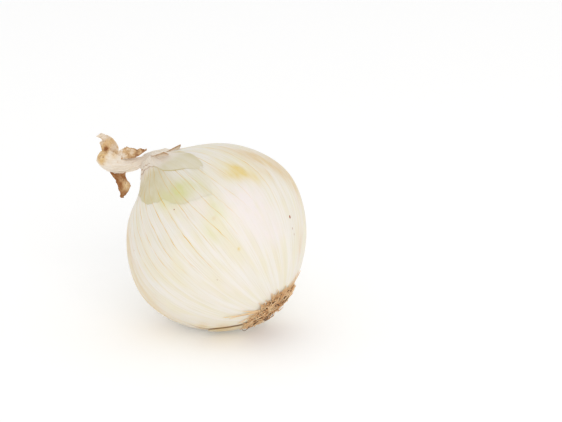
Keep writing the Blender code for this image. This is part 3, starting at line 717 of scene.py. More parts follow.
def add_mantle(shape):
    """The leaf of skin that lies over the collar and runs up on to the neck."""
    longitudes = [360 * column / MANTLE_COLUMNS for column in range(MANTLE_COLUMNS)]
    stations = smooth_line(NECK_STATIONS, NECK_ROWS)
    back = bulb_pose().to_3x3().transposed()
    grid, colours = [], []
    for step in range(MANTLE_NECK_ROWS):
        share = MANTLE_REACH * (1 - step / MANTLE_NECK_ROWS)
        lift = 0.5 - 0.7 * (share / MANTLE_REACH) ** 3
        ring, crease_shades = neck_ring(stations, share, longitudes, lift)[:2]
        grid.append([back @ p for p in ring])
        # The neck's pleat troughs are browned a little: painted shade.
        colours.append([
            film_values(lon, BULB_TOP, rim=0.12 * crease)
            for lon, crease in zip(longitudes, crease_shades)
        ])
    highest = MANTLE_TOP - 0.4
    edges = [min(edge_height(MANTLE_EDGE, lon, MANTLE_TEARS), highest) for lon in longitudes]
    for row in range(MANTLE_ROWS):
        ring, shades = [], []
        for lon, edge in zip(longitudes, edges):
            height = MANTLE_TOP + (edge - MANTLE_TOP) * row / (MANTLE_ROWS - 1)
            from_edge = height - edge
            curl = math.exp(-from_edge / 0.9)
            lift = relief(lon, height) + film_lift(lon, height, from_edge) + FILM_SHEET + 0.04
            lift += MANTLE_RISE * ease(height, MANTLE_RISE_FROM, MANTLE_TOP) + 0.06 * curl
            ring.append(bulb_point(lon, height, lift))
            round_from = turned_apart(lon, -30)
            left = ease(round_from, -60.0, -30.0) * (1 - ease(round_from, 30.0, 44.0))
            moss = math.exp(-from_edge / 0.5) * (1 - ease(abs(turned_apart(lon, 17)), 8.0, 20.0))
            dry = ease(height, 31.0 + 2.0 * math.sin(math.radians(lon * 5)), 41.0)
            patchy = ease(noise.noise(Vector((lon / 9, 3, 3))), -0.2, 0.2)
            # A brown line along a crease near the left edge, partly painted shade of the fold.
            crease = 0.8 * math.exp(-(((from_edge - 1.7) / 0.25) ** 2)) * patchy
            rim = left * (0.8 * math.exp(-from_edge / 0.4) + crease)
            shades.append(film_values(lon, height, rim=rim, moss=moss, dry=dry, fade=0.35))
        grid.append(ring)
        colours.append(shades)
    add_sheet(shape, [row[::-1] for row in grid], FILM_SHEET, closed=True,
              **gathered([c for row in colours for c in row[::-1]]))


def add_strip(shape, near, far, tall, peak):
    """A bit of torn skin that stands up from the shoulder, browned along its top."""
    grid, colours = [], []
    shares = (0.0, 0.3, 0.6, 0.85, 1.0)
    for step in range(32):
        t = 0.02 + 0.96 * step / 31
        longitude, height, lift = (a + (b - a) * t for a, b in zip(near, far))
        base = bulb_point(longitude, height, lift)
        out = bulb_point(longitude, height, lift + 1) - base
        over = bulb_point(longitude, height - 1, lift) - base
        ragged = 0.2 * noise.noise(Vector((longitude / 2.2, height, 5)))
        rise = (tall + ragged) * min(t / peak, (1 - t) / (1 - peak)) ** 0.8
        grid.append([base + (out * 0.9 * s + over * 0.5 * s * s) * rise for s in shares])
        for s in shares:
            colours.append(film_values(longitude, height, rim=0.3 + 0.7 * s**3))
    add_sheet(shape, grid, STRIP_SHEET, **gathered(colours))


def build_collar():
    """The collar of torn outer skin, the mantle over it and their loose bits."""
    all_veins = veins()
    shape = Shape()
    add_collar(shape, all_veins, skin_columns(all_veins))
    add_mantle(shape)
    for strip in STRIPS:
        add_strip(shape, *strip)
    return shape.to_object("torn_collar", bulb_pose(), SHEET_EDGE_DEG)


def build_flake():
    """The loose flake of skin beside the roots, thin and a little frayed."""
    front, back = smooth_line(FLAKE_FRONT, FLAKE_ROWS), smooth_line(FLAKE_BACK, FLAKE_ROWS)
    pose = bulb_pose()
    grid, colours = [], []
    for row_number, (near, far) in enumerate(zip(front, back)):
        row = []
        for column in range(FLAKE_COLUMNS):
            t = column / (FLAKE_COLUMNS - 1)
            longitude, height, lift = (a + (b - a) * t for a, b in zip(near, far))
            frayed = 0.7 * noise.noise(Vector((row_number / 5, 8, 3))) * math.exp(-t * 9)
            point = bulb_point(longitude + frayed, height, 0.2 + 0.5 * lift * ease(t, 0.0, 0.6))
            row.append(on_the_floor(point, pose, FLOOR_CLEARANCE + FLAKE_SHEET))
            rim = math.exp(-t * 18)
            colours.append(skin_values(longitude, height, 0.0, rim=rim))
        grid.append(row)
    shape = Shape()
    add_sheet(shape, grid, FLAKE_SHEET, **gathered(colours))
    return shape.to_object("peeling_flake", pose, SHEET_EDGE_DEG)


def neck_ring(stations, share, longitudes, lift=0.0):
    """One ring of the neck, this share of the way to its end: points, crease depths for painted shade,
    middle, direction.

    The first ring is the bulb's topmost one, and the rings after it turn to follow the neck."""
    turn = bulb_pose().to_3x3()
    front, side, start = (turn @ Vector(axis) for axis in ((1, 0, 0), (0, 1, 0), (0, 0, 1)))
    place = min(share * (len(stations) - 1), len(stations) - 1.001)
    low = int(place)
    station = [a + (b - a) * (place - low) for a, b in zip(stations[low], stations[low + 1])]
    middle = Vector(station[:3])
    before, after = stations[max(low - 1, 0)], stations[min(low + 2, len(stations) - 1)]
    follow = ease(share, 0.0, NECK_FLARE_SHARE)
    along = (Vector(after[:3]) - Vector(before[:3])).normalized()
    along = (start * (1 - follow) + along * follow).normalized()
    depth = Vector((0, 0, 1)).cross(along).normalized()
    upright = along.cross(depth)
    tall, deep = station[3:]
    ring, crease_shades = [], []
    for degrees in longitudes:
        longitude = math.radians(degrees)
        flared = front * math.cos(longitude) + side * math.sin(longitude)
        angle = math.atan2(flared.dot(upright), flared.dot(depth))
        swirl = Vector((share * 9, 1.5 * math.cos(angle), 1.5 * math.sin(angle)))
        turned = angle + math.radians(NECK_TWIST_DEG) * share + 0.25 * noise.noise(swirl)
        pleat = sum(part * math.cos(count * turned + phase) for count, part, phase in NECK_PLEATS)
        narrow = (upright * (tall * math.sin(angle)) + depth * (deep * math.cos(angle))) * (1 + pleat)
        flared *= bulb_radius(longitude, BULB_TOP) + NECK_FLARE + fold(degrees, BULB_TOP)
        point = middle + flared * (1 - follow) + narrow * follow
        out = (point - middle).normalized()
        lumps = 0.3 * noise.noise(point / 3.2) + 0.12 * noise.noise(point / 1.2)
        ring.append(point + out * (lumps * follow + lift))
        # How deep the point lies in a pleat's trough, for painted shade there.
        crease_shades.append(max(0.0, min(1.0, -pleat * 10)) * follow)
    return ring, crease_shades, middle, along


def neck_rings():
    """The neck's rings, how deep each point lies in a crease, which sets the painted shade there, and the
    neck's two ends.
    """
    stations = smooth_line(NECK_STATIONS, NECK_ROWS)
    turn = bulb_pose().to_3x3()
    longitudes = [360 * column / NECK_COLUMNS for column in range(NECK_COLUMNS)]
    rings, crease_shades = [], []
    for height, lift in NECK_SKIRT:
        rings.append([turn @ bulb_point(lon, height, lift + fold(lon, height)) for lon in longitudes])
        crease_shades.append([0.0 for _ in longitudes])
    for row in range(NECK_ROWS):
        ring, crease, middle, along = neck_ring(stations, row / (NECK_ROWS - 1), longitudes)
        rings.append(ring)
        crease_shades.append(crease)
    return rings, crease_shades, Vector(stations[0][:3]), middle, along


def neck_stain_and_shade(point):
    """How ochre and how brown the neck is at a point, from its stains and the painted shade of one hole.
    """
    ochre, brown = 0.0, 0.0
    for right, up, reach, much_ochre, much_brown in NECK_STAINS_AND_SHADE:
        near = math.exp(-((point[0] - right) ** 2 + (point[2] - up) ** 2) / reach**2)
        ochre += much_ochre * near
        brown += much_brown * near
    return ochre, brown


def leaf_values(point, brown, crease, grain):
    """The values that colour one point of the dry neck and its leaf ends, with painted shade in creases.
    """
    ochre, spot = neck_stain_and_shade(point)
    return {
        "grain": grain, "brown": max(0.0, min(1.0, brown + spot)), "ochre": min(1.0, ochre),
        "crease": crease, "spot": Vector(point),
    }


def add_leaf_end(shape, edges, number):
    """One withered leaf end: a cupped, wrinkled blade with a ragged outline."""
    low, high, cup, root_brown, tip_brown, rim_brown, ragged = edges
    left = [Vector(p) for p in smooth_line(low, LEAF_ROWS)]
    right = [Vector(p) for p in smooth_line(high, LEAF_ROWS)]
    grid, colours = [], []
    for row_number, (a, b) in enumerate(zip(left, right)):
        t = row_number / (LEAF_ROWS - 1)
        ahead = left[min(row_number + 1, LEAF_ROWS - 1)] - left[max(row_number - 1, 0)]
        across = b - a
        out = ahead.cross(across).normalized()
        fray = [
            ragged[edge] * ease(t, 0.2, 0.55) * (1.2 * noise.noise(Vector((t * 11, number * 5 + edge, 1)))
            + 0.9 * noise.noise(Vector((t * 33, number * 5 + edge, 6)))) for edge in range(2)
        ]
        a, b = a - across.normalized() * fray[0], b + across.normalized() * fray[1]
        row = []
        for column in range(LEAF_COLUMNS):
            s = column / (LEAF_COLUMNS - 1)
            width = (b - a).length
            bend = cup * 4 * s * (1 - s) * min(1.0, width / 6)
            grain = Vector((s * width, number * 9.0, t * 14))
            wrinkle = 0.22 * noise.noise(Vector((s * width * 1.4, number * 9.0, t * 3)))
            wrinkle += 0.09 * noise.noise(Vector((s * width * 3.5, number * 9.0, t * 9)))
            point = a + (b - a) * s + out * (bend + wrinkle * ease(t, 0.0, 0.15))
            row.append(point)
            edge_brown = rim_brown * math.exp(-min(s, 1 - s) * width / 0.5) * ease(t, 0.1, 0.5)
            brown = root_brown + (tip_brown - root_brown) * t + edge_brown
            brown += 0.3 * noise.noise(point / 2.2) + 0.3 * noise.noise(point / 0.8)
            brown = min(1.0, max(0.0, brown))
            # Wrinkle troughs are darkened: painted shade.
            colours.append(leaf_values(point, brown, max(0.0, -wrinkle * 5), grain))
        grid.append(row)
    add_sheet(shape, grid, LEAF_SHEET, **gathered(colours))


def build_neck():
    """The dry, bent neck with the pit in its end and its withered leaf ends."""
    rings, crease_shades, start, end, along = neck_rings()
    colours = []
    for row, (ring, crease) in enumerate(zip(rings, crease_shades)):
        t = max(0, row - len(NECK_SKIRT)) / (NECK_ROWS - 1)
        for column, point in enumerate(ring):
            turned = math.radians(360 * column / NECK_COLUMNS + NECK_TWIST_DEG * t)
            grain = Vector((4 * math.cos(turned), 4 * math.sin(turned), t * 30))
            colours.append(leaf_values(point, 0.0, crease[column], grain))
    last = rings[-1]
    for share, depth in PIT_RINGS:
        ring = [end + (p - end) * share - along * depth for p in last]
        rings.append(ring)
        # The pit in the neck's end, down to its bottom, is painted dark brown: painted shade in the
        # hollow.
        colours += [leaf_values(p, 0.75 + 0.1 * depth, 0.6, Vector(p)) for p in ring]
    ends = (start, end - along * (PIT_RINGS[-1][1] + 0.1))
    colours += [leaf_values(p, 1.0, 1.0, Vector(p)) for p in ends]
    shape = Shape()
    add_tube(shape, rings, *ends, **gathered(colours))
    for number, edges in enumerate(LEAF_ENDS.values()):
        add_leaf_end(shape, edges, number)
    pose = Matrix.Translation((0, 0, CENTRE_HEIGHT * METRES))
    return shape.to_object("dry_neck", pose, SHEET_EDGE_DEG)


def off_the_skin(point, clearance):
    """Moves a rootlet's point out until it clears the root face and the bulb's skin."""
    radial = math.hypot(point.x, point.y - BULB_LEAN * point.z)
    if radial < plain_radius(ROOT_FACE_HEIGHT):
        return Vector((point.x, point.y, min(point.z, ROOT_FACE_HEIGHT - clearance)))
    size = (radial / BULB_RADIUS) ** BULB_FULLNESS
    size += (abs(point.z) / BULB_HALF_LENGTH) ** BULB_FULLNESS
    size **= 1 / BULB_FULLNESS
    least = 1 + clearance / BULB_HALF_LENGTH
    return point if size >= least else point * (least / size)


def rootlet_line(rand, angle, share, back, curl, steps, reach=TUFT_REACH):
    """The middle line of one rootlet: out of the plate, then curling over the skin or away from it."""
    outward = Vector((math.cos(angle), math.sin(angle), 0))
    start_height = PLATE_TOP_HEIGHT + (PLATE_RIM_HEIGHT - PLATE_TOP_HEIGHT) * share + 0.2
    point = outward * share * PLATE_RADIUS + Vector((0, BULB_LEAN * start_height, start_height))
    heading = (outward * (0.25 + share) + Vector((0, 0, back))).normalized()
    bend = Vector([rand.gauss(0, 1) for _ in range(3)])
    layer = 0.2 + rand.random() ** 2 * 0.9
    crown = rand.uniform(0.35, 1.05)
    thin = ease(math.cos(angle - math.radians(TUFT_THIN_SIDE)), 0.0, 1.0) * share
    depth = TUFT_DEPTH * (1 - TUFT_THINNING * thin)
    line = [point]
    for _ in range(steps):
        bend = (bend + 0.7 * Vector([rand.gauss(0, 1) for _ in range(3)])).normalized()
        heading = (heading + curl * bend).normalized()
        point = point + heading * ROOTLET_STEP * rand.uniform(0.8, 1.2)
        radial = math.hypot(point.x, point.y - BULB_LEAN * point.z)
        dome = max(0.15, 1 - (radial / 13.5) ** 2)
        point.z = max(point.z, PLATE_RIM_HEIGHT - depth * dome * crown)
        if radial > reach * (1 - 0.2 * thin):
            heading = (heading - 0.6 * outward).normalized()
        point = off_the_skin(point, layer)
        line.append(point)
    return line


def wisp_line(rand, lift, places):
    """The middle line of a fine rootlet over the skin, near the given places."""
    off = rand.uniform(-2.5, 2.5)
    reach = rand.uniform(0.75, 1.0)
    line = []
    for step, (longitude, height) in enumerate(smooth_line(places, 14)):
        t = step / 13
        height = places[0][1] + (height - places[0][1]) * reach
        sway = off * (1 - 0.5 * t) + 1.2 * noise.noise(Vector((t * 4, off, 3)))
        line.append(bulb_point(longitude + sway, height, 0.25 + (lift + 0.15 * off) * t**1.5))
    return line


def fringe_places(rand, longitude):
    """Where a fine rootlet of the fringe runs: longitudes and heights of a few points."""
    tuft = 0.5 + noise.noise(Vector((longitude / 14, 6, 2)))
    thin = ease(math.cos(math.radians(longitude - TUFT_THIN_SIDE)), 0.2, 1.0)
    share = min(1.0, max(0.05, tuft * rand.uniform(0.4, 1.1) * (1 - 0.6 * thin)))
    reach = FRINGE_REACH[0] + (FRINGE_REACH[1] - FRINGE_REACH[0]) * share
    lean = rand.gauss(0, 5)
    return [
        (longitude + lean * t + rand.gauss(0, 1.8) * t, FRINGE_START + (reach - FRINGE_START) * t)
        for t in (0.0, 0.33, 0.67, 1.0)
    ]


def add_rootlet(shape, line, thickness, tone):
    """A four-sided tapering tube along a line."""
    rings, tones = [], []
    side = (line[1] - line[0]).orthogonal()
    for step, point in enumerate(line):
        along = (line[min(step + 1, len(line) - 1)] - line[max(step - 1, 0)]).normalized()
        side = (side - side.dot(along) * along).normalized()
        other = along.cross(side)
        t = step / (len(line) - 1)
        radius = thickness * (ROOTLET_RADIUS + (ROOTLET_TIP_RADIUS - ROOTLET_RADIUS) * t)
        corners = [math.pi * corner / 2 for corner in range(4)]
        rings.append([point + radius * (side * math.cos(a) + other * math.sin(a)) for a in corners])
        tones += [tone] * 4
    add_tube(shape, rings, line[0], line[-1], tone=[*tones, tone, tone])


def build_roots():
    """The root plate and its curly rootlets."""
    rand = random.Random(SEED)
    pose = bulb_pose()
    shape = Shape()
    profile = [
        (9.9, ROOT_FACE_HEIGHT + 0.45), (PLATE_RADIUS, PLATE_RIM_HEIGHT - 0.1),
        (0.6 * PLATE_RADIUS, PLATE_TOP_HEIGHT),
    ]
    rings = []
    for radius, height in profile:
        centre = Vector((0, BULB_LEAN * height, height))
        turns = [-2 * math.pi * column / 48 for column in range(48)]
        rings.append([centre + Vector((radius * math.cos(a), radius * math.sin(a), 0)) for a in turns])
    ends = [Vector((0, BULB_LEAN * height, height)) for height in (profile[0][1], PLATE_TOP_HEIGHT)]
    add_tube(shape, rings, *ends, tone=[PLATE_TONE] * (48 * 3 + 2))
    lines = []
    drawn = bpy.context.scene.onion_look.rootlet_share
    for count, steps, back, curl, (first, last), (inner, outer) in ROOTLET_GROUPS:
        for number in range(round(count * drawn)):
            angle = math.radians(first + (last - first) * ((number * 0.618034) % 1))
            share = math.sqrt(inner**2 + (outer**2 - inner**2) * rand.random())
            lean = back + rand.uniform(-0.25, 0.25)
            lines.append(rootlet_line(rand, angle, share, lean, curl, rand.randint(*steps)))
    for line in lines:
        line = [on_the_floor(p, pose, 0.4) for p in line]
        tone = rand.uniform(0.25, 1.0) if rand.random() > OLD_ROOTLET_SHARE else OLD_TONE
        add_rootlet(shape, line, rand.uniform(0.7, 1.1), tone)
    for number in range(round(FRINGE_COUNT * drawn)):
        longitude = (number * 0.618034) % 1 * 360 - 180
        line = wisp_line(rand, rand.uniform(0.1, 0.9), fringe_places(rand, longitude))
        add_rootlet(shape, line[::2], rand.uniform(0.55, 0.95), rand.uniform(0.35, 1.0))
    for hairs, lift, places in WISPS:
        for _ in range(hairs):
            line = wisp_line(rand, lift, places)
            add_rootlet(shape, line, rand.uniform(0.5, 0.8), rand.uniform(0.6, 1.0))
    return shape.to_object("root_tuft", pose)


def add_node(tree, kind, inputs=None, **settings):
    """Adds a node with its settings. Each input is set to a value, or linked where it is a socket."""
    made = tree.nodes.new(kind)
    for name, value in settings.items():
        setattr(made, name, value)
    for key, value in (inputs or {}).items():
        if isinstance(value, bpy.types.NodeSocket):
            tree.links.new(value, made.inputs[key])
        else:
            made.inputs[key].default_value = value
    return made


def new_material(name):
    """A material with a bare Principled shader: the material, its node tree and the shader."""
    material = bpy.data.materials.new(name)
    material.use_nodes = True
    return material, material.node_tree, material.node_tree.nodes["Principled BSDF"]


def drawn_out_noise(tree, around, along, detail=2.0):
    """Uneven streaks from neck to root, this many millimetres wide and long."""
    grain = add_node(tree, "ShaderNodeAttribute", attribute_name="grain").outputs["Vector"]
    scale = (1 / around, 1 / around, 1 / along)
    place = add_node(tree, "ShaderNodeVectorMath", {0: grain, 1: scale}, operation="MULTIPLY")
    inputs = {"Vector": place.outputs[0], "Scale": 1.0, "Detail": detail}
    return add_node(tree, "ShaderNodeTexNoise", inputs).outputs["Fac"]


def lay_colour(tree, base, colour, *masks):
    """Lays a colour over the base where all its masks say.

    A mask is a socket, two values of it, and how much of the colour there is at each of them."""
    share = 1.0
    for value, low, high, at_low, at_high in masks:
        inputs = {"Value": value, "From Min": low, "From Max": high, "To Min": at_low, "To Max": at_high}
        mask = add_node(tree, "ShaderNodeMapRange", inputs, interpolation_type="SMOOTHSTEP").outputs[0]
        share = add_node(tree, "ShaderNodeMath", {0: share, 1: mask}, operation="MULTIPLY").outputs[0]
    return add_node(tree, "ShaderNodeMix", {0: share, 6: base, 7: colour}, data_type="RGBA").outputs[2]


def skin_material(name, colours, roughness, body, streaks):
    """Dry onion scale: a thin, satin, papery skin with fine fibres from neck to root.

    The fibres give the eye a silky streak, the veins thin golden lines, and the moist layer under
    the skin gives a soft, slightly see-through body. A real fibre is about 0.1 mm wide, too fine to
    show, so bundles of them are drawn, 0.55 mm wide."""
    material, tree, shader = new_material(name)
    fibre = drawn_out_noise(tree, 0.55, 16.0, 3.0)
    band = drawn_out_noise(tree, 3.2, 34.0)
    cloud = drawn_out_noise(tree, 11.0, 15.0)
    mottle = drawn_out_noise(tree, 2.4, 4.0, 4.0)
    base = lay_colour(tree, colours["plain"], colours["warm"], (cloud, 0.35, 0.65, 0.0, 1.0))
    base = lay_colour(tree, base, colours["streak"], (band, 0.42, 0.66, 0.0, 0.7))
    base = lay_colour(tree, base, colours["fibre"], (fibre, 0.5, 0.68, 0.0, streaks))
    # Painted light among these: the rose lays a painted highlight, and the tan and the brown edge colour
    # lay painted shade in part.
    for kind in ("film", "rose", "tan", "green", "gold", "dry", "moss", "rim"):
        if kind in colours:
            amount = add_node(tree, "ShaderNodeAttribute", attribute_name=kind).outputs["Fac"]
            uneven = (mottle, 0.2, 0.75, 0.65, 1.0)
            base = lay_colour(tree, base, colours[kind], (amount, 0.0, 1.0, 0.0, 1.0), uneven)
    if "speck" in colours:
        grain = add_node(tree, "ShaderNodeAttribute", attribute_name="grain").outputs["Vector"]
        for longitude, height, radius, amount in SPECKS:
            inputs = {0: grain, 1: grain_of(longitude, height)}
            away = add_node(tree, "ShaderNodeVectorMath", inputs, operation="DISTANCE").outputs["Value"]
            base = lay_colour(tree, base, colours["speck"], (away, radius * 0.5, radius, amount, 0.0))
    vein = add_node(tree, "ShaderNodeAttribute", attribute_name="vein").outputs["Fac"]
    broken = (drawn_out_noise(tree, 1.5, 3.0), 0.3, 0.6, 0.6, 1.0)
    base = lay_colour(tree, base, colours["vein"], (vein, 0.0, 0.8, 0.0, 1.0), broken)
    tree.links.new(base, shader.inputs["Base Color"])
    inputs = {"Value": band, "From Min": 0.3, "From Max": 0.7}
    inputs.update({"To Min": roughness - 0.05, "To Max": roughness + 0.07})
    rough = add_node(tree, "ShaderNodeMapRange", inputs)
    tree.links.new(rough.outputs[0], shader.inputs["Roughness"])
    bump = add_node(tree, "ShaderNodeBump", {"Strength": 0.35, "Distance": 0.00006, "Height": fibre})
    tree.links.new(bump.outputs[0], shader.inputs["Normal"])
    shader.inputs["Subsurface Weight"].default_value = body
    shader.inputs["Subsurface Radius"].default_value = (1.0, 0.7, 0.4)
    shader.inputs["Subsurface Scale"].default_value = 0.0025
    shader.inputs["IOR"].default_value = 1.42
    shader.inputs["Specular IOR Level"].default_value = 0.35
    return material


def dry_leaf_material(name, plain, brown_colour):
    """Withered onion leaf: dead, papery tissue dried on the plant, matt, wrinkled and specked brown.

    It gives the eye pinkish cream fibres, ochre and brown where it has aged, and creases darkened with
    painted shade."""
    material, tree, shader = new_material(name)
    spot = add_node(tree, "ShaderNodeAttribute", attribute_name="spot").outputs["Vector"]
    fibre = drawn_out_noise(tree, 0.5, 5.0, 4.0)
    # Blotches of about 1.7 mm, and flecks of about 0.7 mm
    inputs = {"Vector": spot, "Scale": 0.6, "Detail": 5.0}
    blotch = add_node(tree, "ShaderNodeTexNoise", inputs).outputs["Fac"]
    inputs = {"Vector": spot, "Scale": 1.5, "Detail": 3.0}
    fleck = add_node(tree, "ShaderNodeTexNoise", inputs).outputs["Fac"]
    ochre, brown, crease = (
        add_node(tree, "ShaderNodeAttribute", attribute_name=kind).outputs["Fac"]
        for kind in ("ochre", "brown", "crease")
    )
    aged = (brown, 0.05, 0.6, 0.0, 1.0)
    old = (brown, 0.45, 1.0, 0.0, 1.0)
    where_ochre = (ochre, 0.0, 1.0, 0.0, 1.0)
    where_brown = (brown, 0.1, 0.4, 0.0, 1.0)
    colours = linear_codes(LEAF_CODES)
    base = lay_colour(tree, plain, colours["blotch"], (blotch, 0.4, 0.7, 0.0, 0.5))
    base = lay_colour(tree, base, colours["fibre"], (fibre, 0.5, 0.75, 0.0, 0.25))
    base = lay_colour(tree, base, colours["ochre"], where_ochre, (blotch, 0.25, 0.55, 0.6, 1.0))
    base = lay_colour(tree, base, colours["aged"], aged)
    base = lay_colour(tree, base, brown_colour, old, (blotch, 0.3, 0.6, 0.6, 1.0))
    base = lay_colour(tree, base, colours["fleck"], (fleck, 0.58, 0.68, 0.0, 0.8), where_ochre)
    base = lay_colour(tree, base, colours["dark"], (fleck, 0.6, 0.7, 0.0, 0.8), where_brown)
    # Painted shade in creases, wrinkle troughs and the pit.
    base = lay_colour(tree, base, colours["crease"], (crease, 0.2, 1.0, 0.0, 0.2))
    tree.links.new(base, shader.inputs["Base Color"])
    shader.inputs["Roughness"].default_value = 0.68
    bump = add_node(tree, "ShaderNodeBump", {"Strength": 0.5, "Distance": 0.0002, "Height": fibre})
    tree.links.new(bump.outputs[0], shader.inputs["Normal"])
    return material


def rootlet_material(name, old, fresh):
    """Dried root fibre: stringy plant fibre, air dried, matt tan with darker old strands between."""
    material, tree, shader = new_material(name)
    tone = add_node(tree, "ShaderNodeAttribute", attribute_name="tone").outputs["Fac"]
    base = lay_colour(tree, old, linear(ROOTLET_MIDDLE_CODE), (tone, 0.0, 0.3, 0.0, 1.0))
    base = lay_colour(tree, base, fresh, (tone, 0.25, 1.0, 0.0, 1.0))
    tree.links.new(base, shader.inputs["Base Color"])
    shader.inputs["Roughness"].default_value = 0.75
    return material


def table_material(name, colour, glow):
    """Opal acrylic sheet, cast and matt, lit from below: a plain white ground without a horizon."""
    material, tree, shader = new_material(name)
    cloud = add_node(tree, "ShaderNodeTexNoise", {"Scale": 2.0, "Detail": 1.0}).outputs["Fac"]
    base = lay_colour(tree, colour, linear(TABLE_CLOUD_CODE), (cloud, 0.3, 0.7, 0.0, 1.0))
    tree.links.new(base, shader.inputs["Base Color"])
    shader.inputs["Roughness"].default_value = 0.8
    shader.inputs["Emission Color"].default_value = (1.0, 1.0, 1.0, 1.0)
    shader.inputs["Emission Strength"].default_value = glow
    return material


def place(obj, material, node):
    """Gives a piece its material, lets it ride on the part and stand for its solid."""
    obj.data.materials.append(material)
    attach(obj, "root")
    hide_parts(node)


def colour_setting(title, what, code):
    """A colour that a user may change, with its sRGB hex code as default."""
    return bpy.props.FloatVectorProperty(
        name=title, description=what, default=linear(code), size=4, min=0.0, max=1.0, subtype="COLOR"
    )


class OnionLook(bpy.types.PropertyGroup):
    """Sizes and colours that a user may change before building the onion."""

    vein_spacing: bpy.props.FloatProperty(
        name="Vein spacing", description="Degrees round the bulb between two veins",
        default=7.0, min=4.0, max=15.0,
    )
    skin_roughness: bpy.props.FloatProperty(
        name="Skin roughness", description="How matt the bulb's skin is",
        default=0.36, min=0.0, max=1.0, subtype="FACTOR",
    )
    skin_body: bpy.props.FloatProperty(
        name="Skin depth", description="How far light sinks into the bulb",
        default=0.2, min=0.0, max=1.0, subtype="FACTOR",
    )
    rootlet_share: bpy.props.FloatProperty(
        name="Rootlets", description="Share of the full tuft's rootlets that are drawn",
        default=1.0, min=0.1, max=1.0, subtype="FACTOR",
    )
    skin_colour: colour_setting("Skin", "Main colour of the bulb", "#E7E1D5")
    vein_colour: colour_setting("Veins", "Colour of the veins in the skin", "#DDB340")
    film_colour: colour_setting("Outer skin", "Colour of the torn outer skin", "#D4C99F")
    leaf_colour: colour_setting("Dry neck", "Main colour of the neck", "#ECE2D5")
    leaf_brown: colour_setting("Aged leaf", "Colour of the oldest leaf ends", "#96602F")
    rootlet_colour: colour_setting("Rootlets", "Colour of the palest rootlets", "#F5D9AE")
    old_rootlet_colour: colour_setting("Old rootlets", "Colour of the oldest rootlets", "#5E381C")


class OnionStage(bpy.types.PropertyGroup):
    """The light and the ground."""

    table_colour: bpy.props.FloatVectorProperty(
        name="Table colour", description="Colour of the ground",
        default=linear("#FDFDFC"), size=4, min=0.0, max=1.0, subtype="COLOR",
    )
    table_glow: bpy.props.FloatProperty(
        name="Table glow", description="Light that comes up through the ground",
        default=0.1, min=0.0,
    )
    room_light: bpy.props.FloatProperty(
        name="Room light", description="Strength of the even light from all round",
        default=0.88, min=0.0,
    )
    key_power: bpy.props.FloatProperty(
        name="Key light", description="Power of the large soft light",
        default=10.0, min=0.0, unit="POWER",
    )


def skin_colours(look):
    """The colours that the bulb's skin and its torn outer skin share."""
    colours = linear_codes(SKIN_CODES)
    colours.update(plain=look.skin_colour, vein=look.vein_colour)
    return colours


class ONION_OT_bulb(bpy.types.Operator):
    """Build the bulb's veined skin"""

    bl_idname = "onion.bulb"
    bl_label = "Bulb"

    def execute(self, context):
        look = context.scene.onion_look
        colours = skin_colours(look)
        colours["speck"] = linear(SPECK_CODE)
        material = skin_material("white_onion_skin", colours, look.skin_roughness, look.skin_body, 0.5)
        place(build_bulb(), material, "bulb")
        return {"FINISHED"}


class ONION_OT_collar(bpy.types.Operator):
    """Build the torn outer skin round the neck"""

    bl_idname = "onion.collar"
    bl_label = "Torn collar"

    def execute(self, context):
        look = context.scene.onion_look
        colours = skin_colours(look)
        colours.update(film=look.film_colour, **linear_codes(FILM_CODES))
        roughness, body = look.skin_roughness + 0.04, 0.3 * look.skin_body
        material = skin_material("thin_outer_skin", colours, roughness, body, 0.6)
        place(build_collar(), material, "skin_collar")
        return {"FINISHED"}


class ONION_OT_flake(bpy.types.Operator):
    """Build the loose flake of skin beside the roots"""

    bl_idname = "onion.flake"
    bl_label = "Loose flake"

    def execute(self, context):
        look = context.scene.onion_look
        colours = skin_colours(look)
        colours.update(linear_codes(FLAKE_CODES))
        roughness, body = look.skin_roughness + 0.1, 0.5 * look.skin_body
        material = skin_material("peeled_outer_skin", colours, roughness, body, 0.7)
        place(build_flake(), material, "loose_flake")
        return {"FINISHED"}


class ONION_OT_neck(bpy.types.Operator):
    """Build the dry neck with its withered leaf ends"""

    bl_idname = "onion.neck"
    bl_label = "Dry neck"

    def execute(self, context):
        look = context.scene.onion_look
        material = dry_leaf_material("withered_leaf", look.leaf_colour, look.leaf_brown)
        place(build_neck(), material, "neck")
        return {"FINISHED"}


class ONION_OT_roots(bpy.types.Operator):
    """Build the tuft of dry rootlets"""

    bl_idname = "onion.roots"
    bl_label = "Root tuft"

    def execute(self, context):
        look = context.scene.onion_look
        old, fresh = look.old_rootlet_colour, look.rootlet_colour
        place(build_roots(), rootlet_material("dry_root_fibre", old, fresh), "roots")
        return {"FINISHED"}


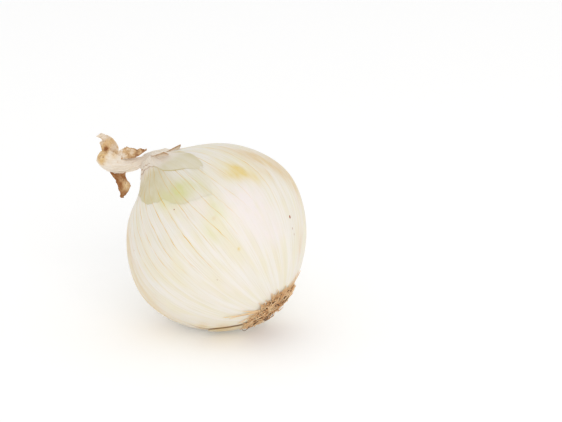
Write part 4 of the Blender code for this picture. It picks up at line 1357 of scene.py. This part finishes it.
class ONION_OT_stage(bpy.types.Operator):
    """Build the table, the light and the camera"""

    bl_idname = "onion.stage"
    bl_label = "Stage"

    def execute(self, context):
        settings = context.scene.onion_stage
        mesh = bpy.data.meshes.new("table")
        corners = [(TABLE_HALF * x, TABLE_HALF * y, 0) for x, y in ((-1, -1), (1, -1), (1, 1), (-1, 1))]
        mesh.from_pydata(corners, [], [(0, 1, 2, 3)])
        mesh.materials.append(table_material("opal_acrylic", settings.table_colour, settings.table_glow))
        table = bpy.data.objects.new("table", mesh)
        context.scene.collection.objects.link(table)

        world = bpy.data.worlds.new("studio")
        world.use_nodes = True
        background = world.node_tree.nodes["Background"]
        background.inputs["Color"].default_value = (1.0, 1.0, 1.0, 1.0)
        background.inputs["Strength"].default_value = settings.room_light
        context.scene.world = world
        context.scene.view_settings.view_transform = "Standard"

        lamp = bpy.data.lights.new("softbox", "AREA")
        lamp.shape = "RECTANGLE"
        lamp.size = lamp.size_y = LAMP_SIZE
        lamp.energy = settings.key_power
        lamp.color = LAMP_COLOUR
        light = bpy.data.objects.new("softbox", lamp)
        light.location = LAMP_PLACE
        aimed = Vector((0, 0, 0.04)) - light.location
        light.rotation_euler = aimed.to_track_quat("-Z", "Y").to_euler()
        context.scene.collection.objects.link(light)

        elevation = math.radians(CAMERA_ELEVATION_DEG)
        back = Vector((0, -math.cos(elevation), math.sin(elevation)))
        up = Vector((0, math.sin(elevation), math.cos(elevation)))
        aim = Vector((0, 0, CENTRE_HEIGHT)) + Vector((AIM_RIGHT, 0, 0)) + AIM_UP * up
        lens = bpy.data.cameras.new("camera")
        lens.lens, lens.sensor_width = CAMERA_LENS, CAMERA_SENSOR
        camera = bpy.data.objects.new("camera", lens)
        camera.location = (aim + CAMERA_DISTANCE * back) * METRES
        camera.rotation_euler = (-back).to_track_quat("-Z", "Y").to_euler()
        context.scene.collection.objects.link(camera)
        context.scene.camera = camera
        return {"FINISHED"}


class ONION_PT_panel(bpy.types.Panel):
    """The onion's pieces in the sidebar"""

    bl_label = "White onion"
    bl_space_type = "VIEW_3D"
    bl_region_type = "UI"
    bl_category = "Onion"

    def draw(self, context):
        for group in (context.scene.onion_look, context.scene.onion_stage):
            for name in group.bl_rna.properties.keys():
                if name not in ("rna_type", "name"):
                    self.layout.prop(group, name)
        for piece in PIECES:
            self.layout.operator(piece.bl_idname)


PIECES = (ONION_OT_stage, ONION_OT_bulb, ONION_OT_collar, ONION_OT_flake, ONION_OT_neck, ONION_OT_roots)
CLASSES = (OnionLook, OnionStage, *PIECES, ONION_PT_panel)


def register():
    for made in CLASSES:
        bpy.utils.register_class(made)
    bpy.types.Scene.onion_look = bpy.props.PointerProperty(type=OnionLook)
    bpy.types.Scene.onion_stage = bpy.props.PointerProperty(type=OnionStage)


def unregister():
    del bpy.types.Scene.onion_stage
    del bpy.types.Scene.onion_look
    for made in reversed(CLASSES):
        bpy.utils.unregister_class(made)


def main():
    register()
    for piece in (bpy.ops.onion.stage, bpy.ops.onion.bulb, bpy.ops.onion.collar, bpy.ops.onion.flake,
                  bpy.ops.onion.neck, bpy.ops.onion.roots):
        piece()


if __name__ == "__main__":
    main()
